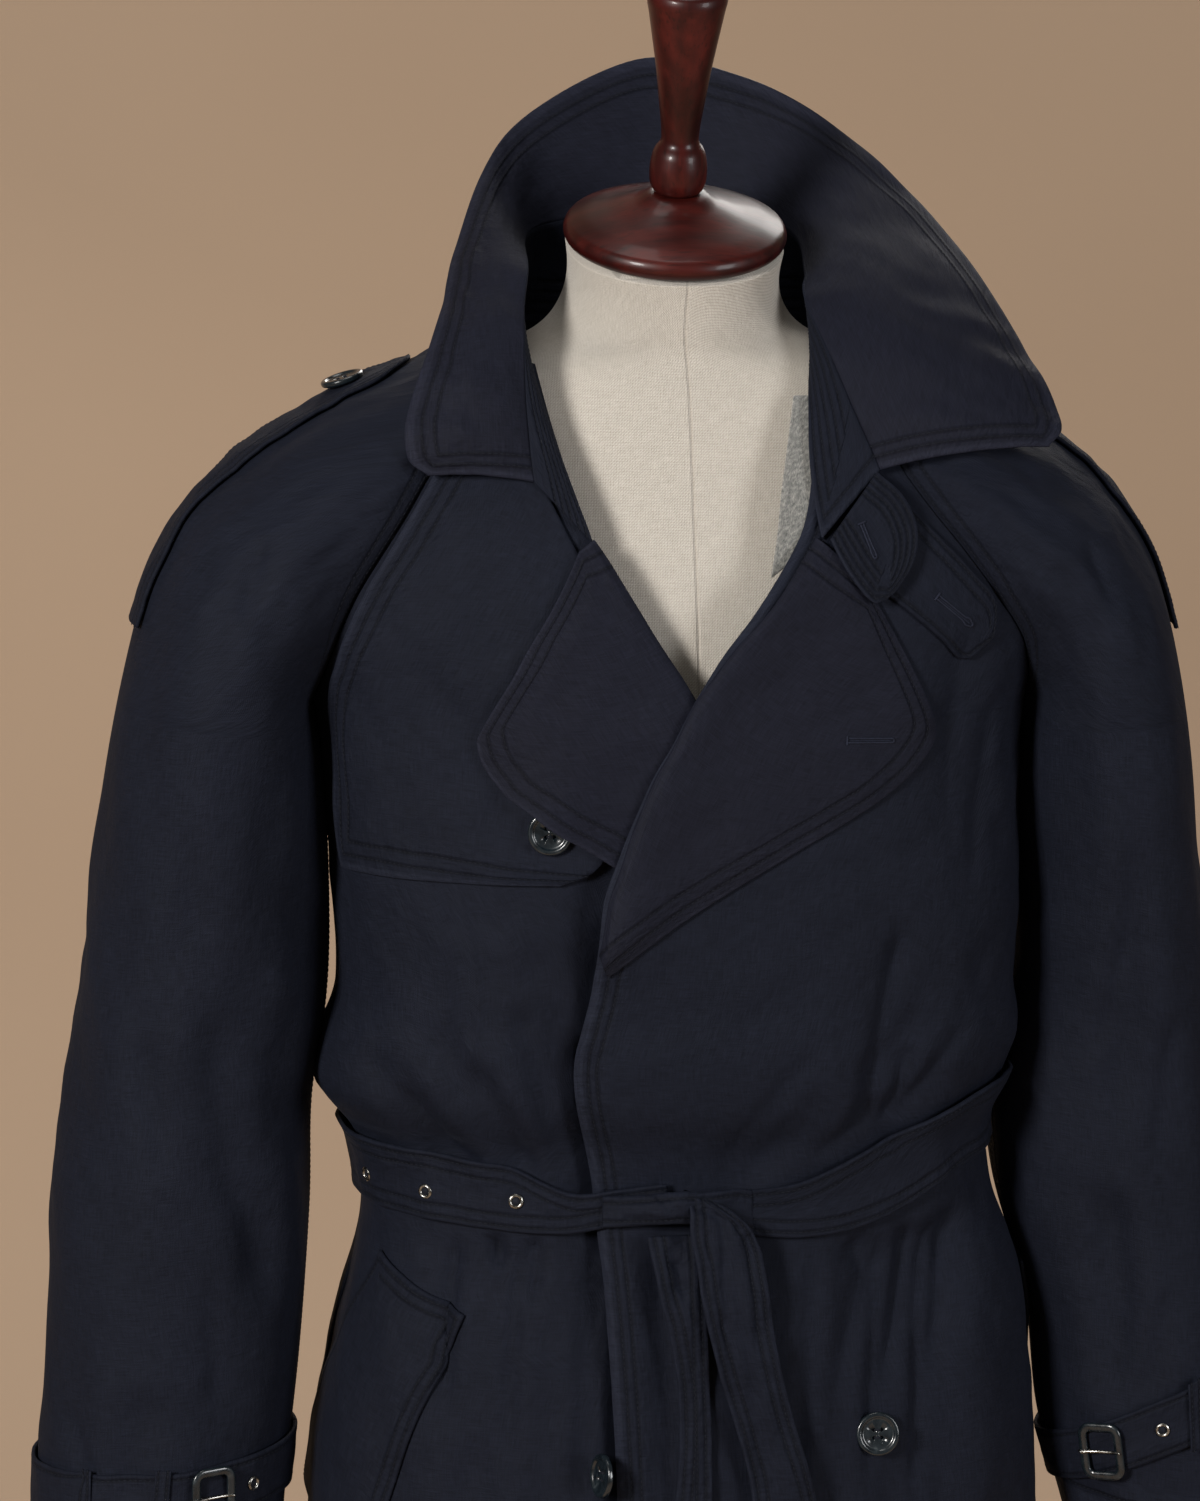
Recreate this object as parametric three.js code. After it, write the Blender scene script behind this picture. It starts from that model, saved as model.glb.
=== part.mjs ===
// Belted trench coat with its collar turned up, worn on a limbless dress form.
// Millimetres. +X is the wearer's left, -Y the front, +Z up. The origin is under the centre of the base.
import * as THREE from "three";

// Driving sizes
const CLOTH = 1.8; // one wall of coat cloth
const BAND = 2.4; // belt, straps and tabs, of doubled cloth
const GAP = 0.3; // between two sewn pieces
const REST = 1.3; // between the coat and the shoulders that carry it
const SQUARE = 2.4; // power of the trunk's rounded sections
const WRAP = 6; // how far the right front is pushed in under the left one
const ROLL_RISE = 10.5; // how far the left roll line stands off the chest
const STORM_LEVEL = 3.6; // outer side of the storm flap over the front
const BUTTON = { radius: 12, thick: 4 };
const BASE_THICK = 24;
const CHEST_BUTTON = { x: -82, z: 1291 };
const POLE_RADIUS = 16;
const TORSO_FOOT = 832;
const CUFF_BUCKLE = { wide: 26, tall: 34, bar: 5, thick: 3 };
const BELT_BUCKLE = { wide: 54, tall: 44, bar: 6, thick: 4 };

const CLOTH_LOOK = new THREE.MeshStandardMaterial({ color: 0x14161e, roughness: 0.8, side: 2 });
const LINEN_LOOK = new THREE.MeshStandardMaterial({ color: 0xcdbea5, roughness: 0.9 });
const WOOD_LOOK = new THREE.MeshStandardMaterial({ color: 0x4a1810, roughness: 0.25 });
const HORN_LOOK = new THREE.MeshStandardMaterial({ color: 0x1d2b30, roughness: 0.35 });
const METAL_LOOK = new THREE.MeshStandardMaterial({ color: 0xb8b8b4, roughness: 0.3, metalness: 1 });
const WOOL_LOOK = new THREE.MeshStandardMaterial({ color: 0x6a6863, roughness: 1 });

const coat = new THREE.Group();

function table(names, rows) {
  const keys = names.split(" ");
  return rows.map((row) => Object.fromEntries(row.map((value, i) => [keys[i], value])));
}

// Rings of the trunk: half widths to each side, and depths to the front and back
const TRUNK = table("z left right front back", [
  [430, 250, 246, 160, 162],
  [560, 238, 236, 150, 152],
  [700, 225, 224, 140, 142],
  [800, 216, 215, 134, 134],
  [880, 209, 208, 130, 126],
  [940, 203, 205, 127, 118],
  [1000, 191, 200, 121, 108],
  [1040, 181, 190, 112, 98],
  [1062, 177, 181, 105, 92],
  [1085, 177, 177, 103, 88],
  [1110, 183, 174, 107, 88],
  [1135, 202, 184, 119, 94],
  [1160, 200, 193, 122, 102],
  [1190, 190, 190, 121, 105],
  [1235, 192, 193, 120, 107],
  [1290, 195, 192, 118, 109],
  [1345, 200, 194, 114, 110],
  [1385, 213, 206, 109, 112],
  [1412, 222, 212, 104, 112],
  [1434, 228, 214, 99, 110],
  [1455, 230, 212, 93, 107],
  [1478, 228, 206, 85, 101],
  [1500, 215, 194, 75, 95],
  [1520, 196, 178, 63, 88],
  [1535, 176, 162, 52, 82],
  [1560, 150, 140, 36, 72],
]);

// Sleeve rows from the cuff to the neck: the outer or top line, the underarm line that becomes the
// front raglan seam, the back raglan seam, the middle of the depth, and half the depth
const SLEEVE_NAMES = "row topX topZ seamX seamZ backX backZ midY deep";
const SLEEVE_RIGHT = table(SLEEVE_NAMES, [
  [0, -362, 846, -226, 862, -226, 862, -16, 66],
  [1, -360, 905, -221, 918, -221, 918, -14, 68],
  [2, -355, 975, -213, 985, -213, 985, -8, 71],
  [3, -350, 1060, -206, 1065, -206, 1065, 0, 76],
  [4, -342, 1125, -207, 1125, -207, 1125, 5, 80],
  [5, -332, 1190, -203, 1182, -203, 1182, 8, 84],
  [6, -324, 1250, -200, 1238, -200, 1238, 7, 88],
  [7, -316, 1310, -200.5, 1295, -200.5, 1295, 3, 92],
  [8, -309, 1352, -200, 1345, -200, 1345, 0, 94],
  [9, -300, 1388, -199, 1362, -199, 1364, 0, 95],
  [10, -289, 1420, -191, 1386, -190, 1390, 2, 96],
  [11, -273, 1448, -181, 1412, -178, 1418, 4, 96],
  [12, -250, 1473, -168, 1434, -163, 1442, 6, 95],
  [13, -222, 1494, -154, 1456, -147, 1466, 8, 92],
  [14, -190, 1512, -141, 1478, -131, 1489, 9, 86],
  [15, -158, 1527, -126, 1500, -113, 1511, 10, 78],
  [16, -126, 1540, -108, 1520, -94, 1531, 12, 70],
  [17, -98, 1550, -91, 1535, -76, 1547, 13, 62],
]);
const SLEEVE_LEFT = table(SLEEVE_NAMES, [
  [0, 352, 856, 226, 872, 226, 872, -12, 64],
  [1, 345, 915, 214, 928, 214, 928, -10, 66],
  [2, 335, 985, 211, 995, 211, 995, -4, 70],
  [3, 326, 1060, 199, 1066, 199, 1066, 6, 74],
  [4, 317, 1125, 194, 1127, 194, 1127, 12, 78],
  [5, 308, 1185, 199, 1182, 199, 1182, 12, 82],
  [6, 299, 1240, 199, 1235, 199, 1235, 8, 86],
  [7, 292, 1295, 196, 1288, 196, 1288, 3, 90],
  [8, 286, 1340, 194, 1345, 194, 1345, 0, 92],
  [9, 279, 1378, 190, 1362, 190, 1364, 0, 93],
  [10, 270, 1412, 181, 1386, 181, 1390, 2, 94],
  [11, 256, 1442, 163, 1412, 168, 1418, 4, 94],
  [12, 237, 1467, 146, 1434, 153, 1442, 6, 93],
  [13, 213, 1489, 128, 1456, 138, 1466, 8, 90],
  [14, 184, 1508, 112, 1478, 122, 1489, 9, 85],
  [15, 153, 1525, 99, 1500, 105, 1511, 10, 78],
  [16, 121, 1540, 88, 1520, 88, 1531, 12, 70],
  [17, 92, 1550, 78, 1535, 70, 1547, 13, 62],
]);

// Edges of the two fronts: the roll line of each lapel, then the plain edge down to the hem
const EDGE_LEFT = table("z x", [
  [430, -46],
  [760, -46],
  [925, -48],
  [1009, -52],
  [1094, -59],
  [1156, -71],
  [1204, -61],
  [1271, -49],
  [1359, -6],
  [1441, 52],
  [1475, 62],
  [1510, 64],
  [1540, 72],
]);
const EDGE_RIGHT = table("z x", [
  [430, 80],
  [1204, 76],
  [1271, 48],
  [1357, -4],
  [1443, -57],
  [1480, -70],
  [1510, -78],
  [1540, -84],
]);

// Main folds of the fronts and the back, as x and z of the start, middle and end. A trough has a
// height below zero.
const FOLDS = table("facing x1 z1 x2 z2 x3 z3 wide high", [
  [1, -180, 1170, -150, 1122, -124, 1090, 12, -5],
  [1, -152, 1190, -112, 1125, -84, 1082, 11, -5],
  [1, -88, 1240, -80, 1150, -58, 1088, 11, -4],
  [1, 124, 1190, 97, 1150, 88, 1108, 11, -5],
  [1, 140, 1160, 115, 1128, 96, 1106, 10, -4],
  [1, 74, 1150, 40, 1112, 8, 1086, 12, -5],
  [1, -114, 1072, -122, 980, -130, 840, 13, -5],
  [1, -72, 1072, -84, 960, -92, 760, 14, -4],
  [1, 88, 1068, 80, 1000, 60, 800, 13, -5],
  [1, 122, 1070, 108, 990, 96, 720, 14, -6],
  [1, 148, 1078, 134, 990, 140, 700, 13, -5],
  [1, 20, 1060, 30, 900, 34, 600, 16, -3],
  [-1, -150, 1090, -156, 980, -170, 700, 16, -7],
  [-1, -95, 1096, -98, 960, -110, 640, 18, -7],
  [-1, -38, 1096, -34, 940, -44, 600, 17, -6],
  [-1, 30, 1096, 36, 960, 30, 640, 18, -7],
  [-1, 88, 1096, 84, 940, 100, 600, 17, -6],
  [-1, 140, 1100, 148, 980, 160, 700, 16, -6],
  [-1, -110, 1112, -100, 1170, -84, 1260, 16, -6],
  [-1, -48, 1112, -40, 1190, -46, 1300, 16, -5],
  [-1, 22, 1112, 16, 1180, 24, 1280, 17, -6],
  [-1, 92, 1112, 84, 1180, 70, 1270, 16, -5],
]);
// Main folds of the sleeves, by the row and by the share of the way round to the front seam
const SLEEVE_FOLDS = table("side row1 turn1 row2 turn2 wide high", [
  [-1, 5.2, 0.52, 3.1, 0.66, 13, -6],
  [-1, 3.6, 0.6, 2.4, 0.78, 12, -6],
  [-1, 2.1, 0.42, 0.9, 0.4, 12, -5],
  [-1, 10.5, 0.55, 7.4, 0.72, 17, 5],
  [-1, 9.4, 0.2, 6.2, 0.3, 18, -4],
  [-1, 8.2, -0.5, 5, -0.62, 18, -7],
  [-1, 4.6, -0.3, 2.6, -0.44, 15, -6],
  [1, 7.2, 0.5, 3.1, 0.6, 13, -6],
  [1, 3.3, 0.62, 1.2, 0.72, 12, -6],
  [1, 3.6, 0.24, 2.2, 0.32, 14, -5],
  [1, 10.4, 0.55, 7.4, 0.7, 17, 5],
  [1, 8.2, -0.5, 5, -0.62, 18, -7],
  [1, 4.6, -0.3, 2.6, -0.44, 15, -6],
]);

// Lapels from the notch to the lower end: roll line and outer edge
const LAPEL_LEFT = table("share rollX rollZ edgeX edgeZ", [
  [0, 62, 1443, 92, 1413],
  [0.22, 42, 1415, 111, 1378],
  [0.42, 16, 1385, 126, 1345],
  [0.5, 5, 1372, 126, 1332],
  [0.58, -6, 1358, 111, 1315],
  [0.7, -20, 1332, 78, 1294],
  [0.82, -36, 1299, 30, 1268],
  [0.92, -48, 1264, -18, 1239],
  [1, -57, 1226, -52, 1214],
]);
const LAPEL_RIGHT = table("share rollX rollZ edgeX edgeZ", [
  [0, -57, 1443, -65, 1437],
  [0.15, -49, 1431, -76, 1414],
  [0.35, -37, 1411, -95, 1381],
  [0.55, -25, 1391, -115, 1346],
  [0.65, -18, 1380, -119, 1333],
  [0.73, -12, 1371, -112, 1318],
  [0.82, -5, 1359, -94, 1303],
  [0.92, 3, 1344, -64, 1283],
  [1, 10, 1332, -38, 1266],
]);
// Storm flap from under the collar to its lower edge: seam side and free side
const STORM_FLAP = table("z outerX innerX", [
  [1262, -187, -78],
  [1268, -188, -62],
  [1280, -189, -52],
  [1310, -190, -42],
  [1360, -192, -43],
  [1385, -187, -47],
  [1412, -177, -52],
  [1440, -161, -68],
  [1470, -143, -82],
  [1490, -131, -90],
]);
// Tabs as rows from their sewn end to their tip, low edge and high edge
const CHEST_TAB = table("share lowX lowZ highX highZ", [
  [0, 84, 1424, 100, 1474],
  [0.3, 104, 1410, 120, 1452],
  [0.7, 132, 1387, 151, 1420],
  [0.88, 143, 1377, 163, 1405],
  [1, 150, 1376, 162, 1386],
]);
const THROAT_TAB = table("share lowX lowZ highX highZ", [
  [0, 68, 1441, 95, 1474],
  [0.25, 71, 1434, 108, 1462],
  [0.5, 76, 1425, 115, 1445],
  [0.75, 83, 1416, 112, 1428],
  [0.92, 89, 1410, 102, 1414],
  [1, 92, 1408.5, 97, 1410],
]);
const NECK_LINING = table("share lowX lowZ highX highZ", [
  [0, 38, 1424, 50, 1432],
  [0.25, 42, 1444, 60, 1450],
  [0.5, 46, 1470, 64, 1474],
  [0.8, 52, 1500, 65, 1502],
  [1, 56, 1518, 66, 1518],
]);

// Collar from its right front end round the back to its left front end: foot of the stand, the line
// where the leaf turns out, and the outer edge of the leaf
const COLLAR = table("share footX footY footZ turnX turnY turnZ edgeX edgeY edgeZ swell", [
  [0, -58, -97.5, 1443, -88, -90, 1475, -144, -86, 1478, 4],
  [0.03, -60, -96, 1450, -89, -88, 1483, -154, -85, 1487, 6],
  [0.08, -65, -92, 1464, -90, -84, 1497, -155, -79, 1506, 9],
  [0.16, -74, -82, 1491, -91, -76, 1521, -143, -62, 1539, 10],
  [0.24, -84, -64, 1525, -90, -62, 1553, -131, -30, 1565, 8],
  [0.28, -90, -45, 1539, -88, -45, 1568, -127, -12, 1577, 6],
  [0.32, -92, -24, 1543, -84, -26, 1584, -121, 10, 1592, 5],
  [0.4, -87, 34, 1547, -78, 34, 1600, -96, 68, 1640, 0],
  [0.45, -60, 67.5, 1544, -56, 74, 1606, -66, 95, 1668, -2],
  [0.5, -4, 70.5, 1543, -4, 93, 1610, -4, 115, 1695, -3],
  [0.55, 46, 68.5, 1544, 48, 80, 1608, 55, 110, 1685, -2],
  [0.6, 82, 40, 1547, 70, 40, 1600, 99, 94, 1661, 0],
  [0.68, 86, -10, 1545, 69, -10, 1580, 143, 52, 1619, 6],
  [0.72, 77, -28, 1542, 66, -23, 1573, 161, 23, 1593, 9],
  [0.76, 67, -46, 1534, 66, -36, 1565, 175, -8, 1567, 12],
  [0.84, 62, -69, 1510, 75, -62, 1538, 188, -38, 1537, 14],
  [0.92, 61, -84, 1480, 87, -77, 1506, 198, -62, 1512, 13],
  [0.97, 63, -92, 1458, 94, -83, 1489, 199, -76, 1498, 10],
  [1, 65, -98.5, 1444, 98, -86, 1479, 191, -82, 1490, 7],
]);

// Belt round the waist by the turn from the wearer's left side, and its tails below the knot
const BELT = table("turn z half", [
  [-266, 1086, 10],
  [-258, 1082, 10],
  [-251, 1079, 11],
  [-242, 1085, 16.5],
  [-230, 1089, 19],
  [-210, 1092, 19.5],
  [-180, 1094, 20],
  [-135, 1098, 20],
  [-90, 1103, 20],
  [-45, 1110, 20],
  [0, 1117, 21],
  [35, 1113, 22],
  [63, 1088, 21],
  [76, 1078, 15],
  [85, 1077, 11],
]);
const KNOT = { x: 2, z: 1083, wide: 44, tall: 27, deep: 20 };
const TAIL_FRONT = table("z x half out", [
  [772, 46, 12, 9],
  [800, 46, 19, 9],
  [860, 44, 18, 9],
  [925, 39, 17, 9],
  [961, 31, 19, 10],
  [1010, 18, 18.5, 13],
  [1045, 11, 16.5, 16],
  [1067.6, 4, 12, 16],
]);
const TAIL_BACK = table("z x half out", [
  [810, -18, 19, 3.4],
  [860, -16, 17, 3.4],
  [920, -15, 15, 3.8],
  [985, -17, 15, 5],
  [1035, -19, 15, 8],
  [1064, -22, 12, 9],
]);
const BELT_EYELETS = [
  [163.6, 1089],
  [141.3, 1087],
  [119.8, 1085.4],
];

// Slanted pocket welts by turn and height, top end to lower end. The left one sits further back
const WELT_LEFT_BACK = 42;
const WELT = table("share frontTurn frontZ backTurn backZ", [
  [0, 50, 1021, 22, 1047],
  [0.5, 42, 955, 5, 975],
  [1, 34, 880, -6, 900],
]);

// Torso of the dress form: half width, half depth, middle and forward tilt of each section
const TORSO = table("z wide deep midX midY tilt", [
  [832, 150, 92, 0, 0, 0],
  [950, 158, 98, 0, 0, 0],
  [1060, 148, 82, 0, 0, 0],
  [1110, 146, 82, 0, 0, 0],
  [1200, 162, 92, 0, 0, 0],
  [1300, 176, 100, 0, 0, 0],
  [1380, 182, 96, 0, 4, 0],
  [1440, 184, 84, 0, 8, 0],
]);
const TORSO_NECK = table("z wide deep midX midY tilt", [
  [1541, 82, 56, -1, 9, 1],
  [1547, 74, 56.5, -2, 8, 4],
  [1556, 64, 56, -2, 6, 9],
  [1568, 58.5, 56, -2, 3, 14],
  [1582, 57, 56.5, -2, 0, 18],
  [1595.9, 59.5, 59.5, -1.5, -3, 20],
]);
const NECK_TILT = 20;
const CAP_PLACE = { x: -1.5, y: -5.5, z: 1603 };
const CAP_PROFILE = [
  [0, -7],
  [54, -7],
  [59.5, -5],
  [61.5, 0],
  [59.5, 5],
  [50, 9],
  [36, 13],
  [22, 18],
  [15, 23],
  [0, 23],
];
const FINIAL_PROFILE = [
  [0, 23.3],
  [13, 23.3],
  [15.5, 29],
  [15.8, 38],
  [14, 47],
  [10, 52],
  [10.5, 60],
  [15, 94],
  [20.5, 126],
  [22, 133],
  [20.5, 138],
  [0, 140],
];
const BASE_PROFILE = [
  [0, 0],
  [188, 0],
  [190, 4],
  [190, 12],
  [176, 18],
  [60, 22],
  [30, 24],
  [0, 24],
];

const radians = (degrees) => (degrees * Math.PI) / 180;
const signedPower = (value, power) => Math.sign(value) * Math.abs(value) ** power;
const vec = (x, y, z) => new THREE.Vector3(x, y, z);
const ramp = (value, from, to) => THREE.MathUtils.smoothstep(value, from, to);
const mix = (a, b, share) => a + (b - a) * share;

// Every column of a table at one value of its key column, on a smooth curve through the rows
function read(rows, key, at) {
  let i = 0;
  while (i < rows.length - 2 && at > rows[i + 1][key]) i += 1;
  const a = rows[i];
  const b = rows[i + 1];
  const before = rows[Math.max(i - 1, 0)];
  const after = rows[Math.min(i + 2, rows.length - 1)];
  const span = b[key] - a[key];
  const t = (at - a[key]) / span;
  const out = {};
  for (const name of Object.keys(a)) {
    const slopeA = ((b[name] - before[name]) / (b[key] - before[key])) * span;
    const slopeB = ((after[name] - a[name]) / (after[key] - a[key])) * span;
    const rise = b[name] - a[name];
    out[name] = a[name] + t * slopeA + t * t * (3 * rise - 2 * slopeA - slopeB)
      + t * t * t * (slopeA + slopeB - 2 * rise);
  }
  return out;
}

// Height of one fold at a place, from its distance to the fold's two legs
function foldHeight(fold, x, z) {
  const legs = [
    [fold.x1, fold.z1, fold.x2, fold.z2, 0],
    [fold.x2, fold.z2, fold.x3, fold.z3, 1],
  ];
  let best = { away: Infinity, along: 0 };
  for (const [ax, az, bx, bz, order] of legs) {
    const dx = bx - ax;
    const dz = bz - az;
    const t = THREE.MathUtils.clamp(((x - ax) * dx + (z - az) * dz) / (dx * dx + dz * dz), 0, 1);
    const away = Math.hypot(x - ax - t * dx, z - az - t * dz);
    if (away < best.away) best = { away, along: (order + t) / 2 };
  }
  const ends = ramp(best.along, 0, 0.2) * (1 - ramp(best.along, 0.7, 1));
  return fold.high * ends * Math.exp(-((best.away / fold.wide) ** 2));
}

// Trunk surface at a turn in degrees (0 the wearer's left, 90 the front) and a height
function trunk(turn, z) {
  const size = read(TRUNK, "z", z);
  const c = Math.cos(radians(turn));
  const s = Math.sin(radians(turn));
  const half = c > 0 ? size.right : size.left;
  const depth = s > 0 ? size.front : size.back;
  const x = half * signedPower(c, 2 / SQUARE);
  const y = -depth * signedPower(s, 2 / SQUARE);
  const out = vec(signedPower(c, 2 - 2 / SQUARE) / half, -signedPower(s, 2 - 2 / SQUARE) / depth, 0);
  const facing = s > 0 ? 1 : -1;
  let height = 0;
  for (const fold of FOLDS) if (fold.facing === facing) height += foldHeight(fold, x, z);
  return vec(x, y, z).addScaledVector(out.normalize(), height * ramp(Math.abs(s), 0.05, 0.35));
}

function turnOf(x, z) {
  const size = read(TRUNK, "z", z);
  const half = x > 0 ? size.right : size.left;
  const c = Math.min(Math.abs(x) / half, 1) ** (SQUARE / 2);
  return (Math.acos(Math.sign(x) * c) * 180) / Math.PI;
}

// A place on a surface of two numbers, moved out along its normal
function lifted(surface, u, v, stepU, stepV, level) {
  const du = surface(u + stepU, v).sub(surface(u - stepU, v));
  const dv = surface(u, v + stepV).sub(surface(u, v - stepV));
  const normal = du.cross(dv).normalize();
  return surface(u, v).addScaledVector(normal, level);
}
const onTrunk = (turn, z, level) => lifted((a, b) => trunk(-a, b), -turn, z, 0.6, 1.5, level);
const onFront = (x, z, level) => onTrunk(turnOf(x, z), z, level);

function sleeve(rows, row, share) {
  const size = read(rows, "row", row);
  const side = Math.sign(size.topX);
  let front = vec(size.seamX, size.midY, size.seamZ);
  let back = vec(size.backX, size.midY, size.backZ);
  if (row > 8) {
    front = trunk(turnOf(size.seamX, size.seamZ), size.seamZ);
    back = trunk(-turnOf(size.backX, size.backZ), size.backZ);
  }
  const middle = front.clone().add(back).multiplyScalar(0.5);
  const halfChord = (back.y - front.y) / 2;
  const opening = Math.min(halfChord / size.deep, 1);
  const sweep = Math.PI - Math.asin(opening);
  const top = vec(size.topX, middle.y, size.topZ);
  const across = top.clone().sub(middle).divideScalar(1 - Math.cos(sweep));
  const forward = vec(0, -size.deep, 0);
  if (opening > 0.05) forward.copy(front).sub(back).divideScalar(2 * Math.sin(sweep));
  const centre = top.clone().sub(across);
  const angle = share * sweep;
  const place = centre.addScaledVector(across, Math.cos(angle)).addScaledVector(forward, Math.sin(angle));
  const out = across.clone().multiplyScalar(Math.cos(angle) / across.lengthSq())
    .addScaledVector(forward, Math.sin(angle) / forward.lengthSq()).normalize();
  let height = 0;
  const arc = size.deep * 2.6;
  for (const fold of SLEEVE_FOLDS) {
    if (fold.side !== side) continue;
    const along = THREE.MathUtils.clamp((fold.row1 - row) / (fold.row1 - fold.row2), 0, 1);
    const nearest = mix(fold.row1, fold.row2, along);
    const away = Math.hypot((share - mix(fold.turn1, fold.turn2, along)) * arc, (row - nearest) * 60);
    const ends = ramp(along, 0, 0.25) * (1 - ramp(along, 0.7, 1));
    height += fold.high * ends * Math.exp(-((away / fold.wide) ** 2));
  }
  return place.addScaledVector(out, height);
}
const onSleeve = (rows, row, share, level) =>
  lifted((a, b) => sleeve(rows, b, a * -Math.sign(rows[0].topX)), share * -Math.sign(rows[0].topX),
    row, 0.01, 0.03, level);

// A closed wall between two skins of the same grid of points
function wall(name, outer, inner, look = CLOTH_LOOK) {
  const rows = outer.length;
  const columns = outer[0].length;
  const points = [...outer.flat(), ...inner.flat()];
  const at = (skin, i, j) => skin * rows * columns + i * columns + j;
  const faces = [];
  const quad = (a, b, c, d) => faces.push(a, b, c, a, c, d);
  for (let i = 0; i < rows - 1; i += 1) {
    for (let j = 0; j < columns - 1; j += 1) {
      quad(at(0, i, j), at(0, i, j + 1), at(0, i + 1, j + 1), at(0, i + 1, j));
      quad(at(1, i, j), at(1, i + 1, j), at(1, i + 1, j + 1), at(1, i, j + 1));
    }
    quad(at(0, i, 0), at(0, i + 1, 0), at(1, i + 1, 0), at(1, i, 0));
    quad(at(0, i + 1, columns - 1), at(0, i, columns - 1), at(1, i, columns - 1), at(1, i + 1, columns - 1));
  }
  for (let j = 0; j < columns - 1; j += 1) {
    quad(at(0, 0, j + 1), at(0, 0, j), at(1, 0, j), at(1, 0, j + 1));
    quad(at(0, rows - 1, j), at(0, rows - 1, j + 1), at(1, rows - 1, j + 1), at(1, rows - 1, j));
  }
  add(name, solid(points, faces), look);
}

// Geometry from points and triangles, turned so that it faces out
function solid(points, faces) {
  let volume = 0;
  for (let i = 0; i < faces.length; i += 3) {
    volume += points[faces[i]].dot(points[faces[i + 1]].clone().cross(points[faces[i + 2]]));
  }
  const order = volume < 0 ? faces.toReversed() : faces;
  const geometry = new THREE.BufferGeometry().setFromPoints(points);
  geometry.setIndex(order);
  geometry.computeVertexNormals();
  return geometry;
}

function add(name, geometry, look, parent = coat) {
  const mesh = new THREE.Mesh(geometry, look);
  mesh.name = name;
  parent.add(mesh);
  return mesh;
}

// Wall over a grid: place(i share, j share, level) gives a point, level(i, j) the outer skin's height
function sheet(name, rowShares, columnShares, place, level, thick, look = CLOTH_LOOK) {
  const skin = (drop) =>
    rowShares.map((v) => columnShares.map((u) => place(u, v, level(u, v) - drop)));
  wall(name, skin(0), skin(thick), look);
}
const shares = (count) => Array.from({ length: count + 1 }, (_, i) => i / count);

// Heights of the trunk's rows up to the armpit, closer at the belt, then the raglan rows
const LOW_ROWS = [430, 570, 700, 810, 895, 960, 1008, 1042, 1064, 1087, 1110, 1132, 1160, 1195, 1240, 1290];
const RAGLAN_ROWS = [8, 8.6, 9.3, 10, 11, 12, 13, 14, 15, 16, 17];
const trunkRows = (rows, key) => [
  ...LOW_ROWS.map((z) => ({ z, row: 0 })),
  ...RAGLAN_ROWS.map((row) => ({ z: read(rows, "row", row)[key], row })),
];

// How far each front stands off the trunk: the left one rolls out over the right one
function levelLeft(x, z) {
  const edge = read(EDGE_LEFT, "z", z).x;
  const zone = ramp(z, 1190, 1235) * (1 - ramp(z, 1400, 1452));
  return ROLL_RISE * zone * Math.exp(-(((x - edge) / 30) ** 2));
}
function levelRight(x, z) {
  const edge = read(EDGE_LEFT, "z", Math.min(z, 1540)).x;
  return -WRAP * ramp(x, edge - 25, edge + 5);
}

function frontPanel(name, rows, edges, level, columns) {
  const side = Math.sign(rows[0].topX);
  const lines = trunkRows(rows, "seamZ");
  const seamPull = (GAP * 0.6) / 3; // degrees that leave a gap at the seam
  const skin = (drop) =>
    lines.map(({ z, row }) => {
      const start = turnOf(read(edges, "z", z).x, z);
      let end = side > 0 ? 0 : 180;
      if (row > 8) end = turnOf(read(rows, "row", row).seamX, z);
      end += side * seamPull;
      return shares(columns).map((u) => {
        const turn = mix(start, end, u);
        return onTrunk(turn, z, level(trunk(turn, z).x, z) - drop);
      });
    });
  wall(name, skin(0), skin(CLOTH));
}

frontPanel("front_left", SLEEVE_LEFT, EDGE_LEFT, levelLeft, 11);
frontPanel("front_right", SLEEVE_RIGHT, EDGE_RIGHT, levelRight, 12);

{
  const lines = trunkRows(SLEEVE_RIGHT, "backZ");
  const skin = (drop) =>
    lines.map(({ z, row }) => {
      let start = -180;
      let end = 0;
      if (row > 8) {
        start = -turnOf(read(SLEEVE_RIGHT, "row", row).backX, z);
        end = -turnOf(read(SLEEVE_LEFT, "row", row).backX, z);
      }
      return shares(15).map((u) => onTrunk(mix(start + 0.06, end - 0.06, u), z, -drop));
    });
  wall("back", skin(0), skin(CLOTH));
}

const SLEEVE_ROWS = [0, 0.6, 1.2, 1.8, 2.4, 3, 3.6, 4.3, 5, 5.7, 6.4, 7.2, ...RAGLAN_ROWS];
for (const [name, rows] of [["sleeve_left", SLEEVE_LEFT], ["sleeve_right", SLEEVE_RIGHT]]) {
  const pull = 0.0009;
  const place = (u, v, level) => onSleeve(rows, v, mix(-1 + pull, 1 - pull, u), level);
  sheet(name, SLEEVE_ROWS, shares(14), place, () => 0, CLOTH);
}

// A patch on a front between two edges of a table
function frontPatch(name, rows, names, steps, columns, level, thick, look) {
  const [lowX, lowZ, highX, highZ] = names;
  const place = (u, v, height) => {
    const edge = read(rows, "share", v);
    return onFront(mix(edge[lowX], edge[highX], u), mix(edge[lowZ], edge[highZ], u), height);
  };
  const levelHere = (u, v) => {
    const edge = read(rows, "share", v);
    return level(mix(edge[lowX], edge[highX], u), mix(edge[lowZ], edge[highZ], u), u, v);
  };
  sheet(name, steps, shares(columns), place, levelHere, thick, look);
}

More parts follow.
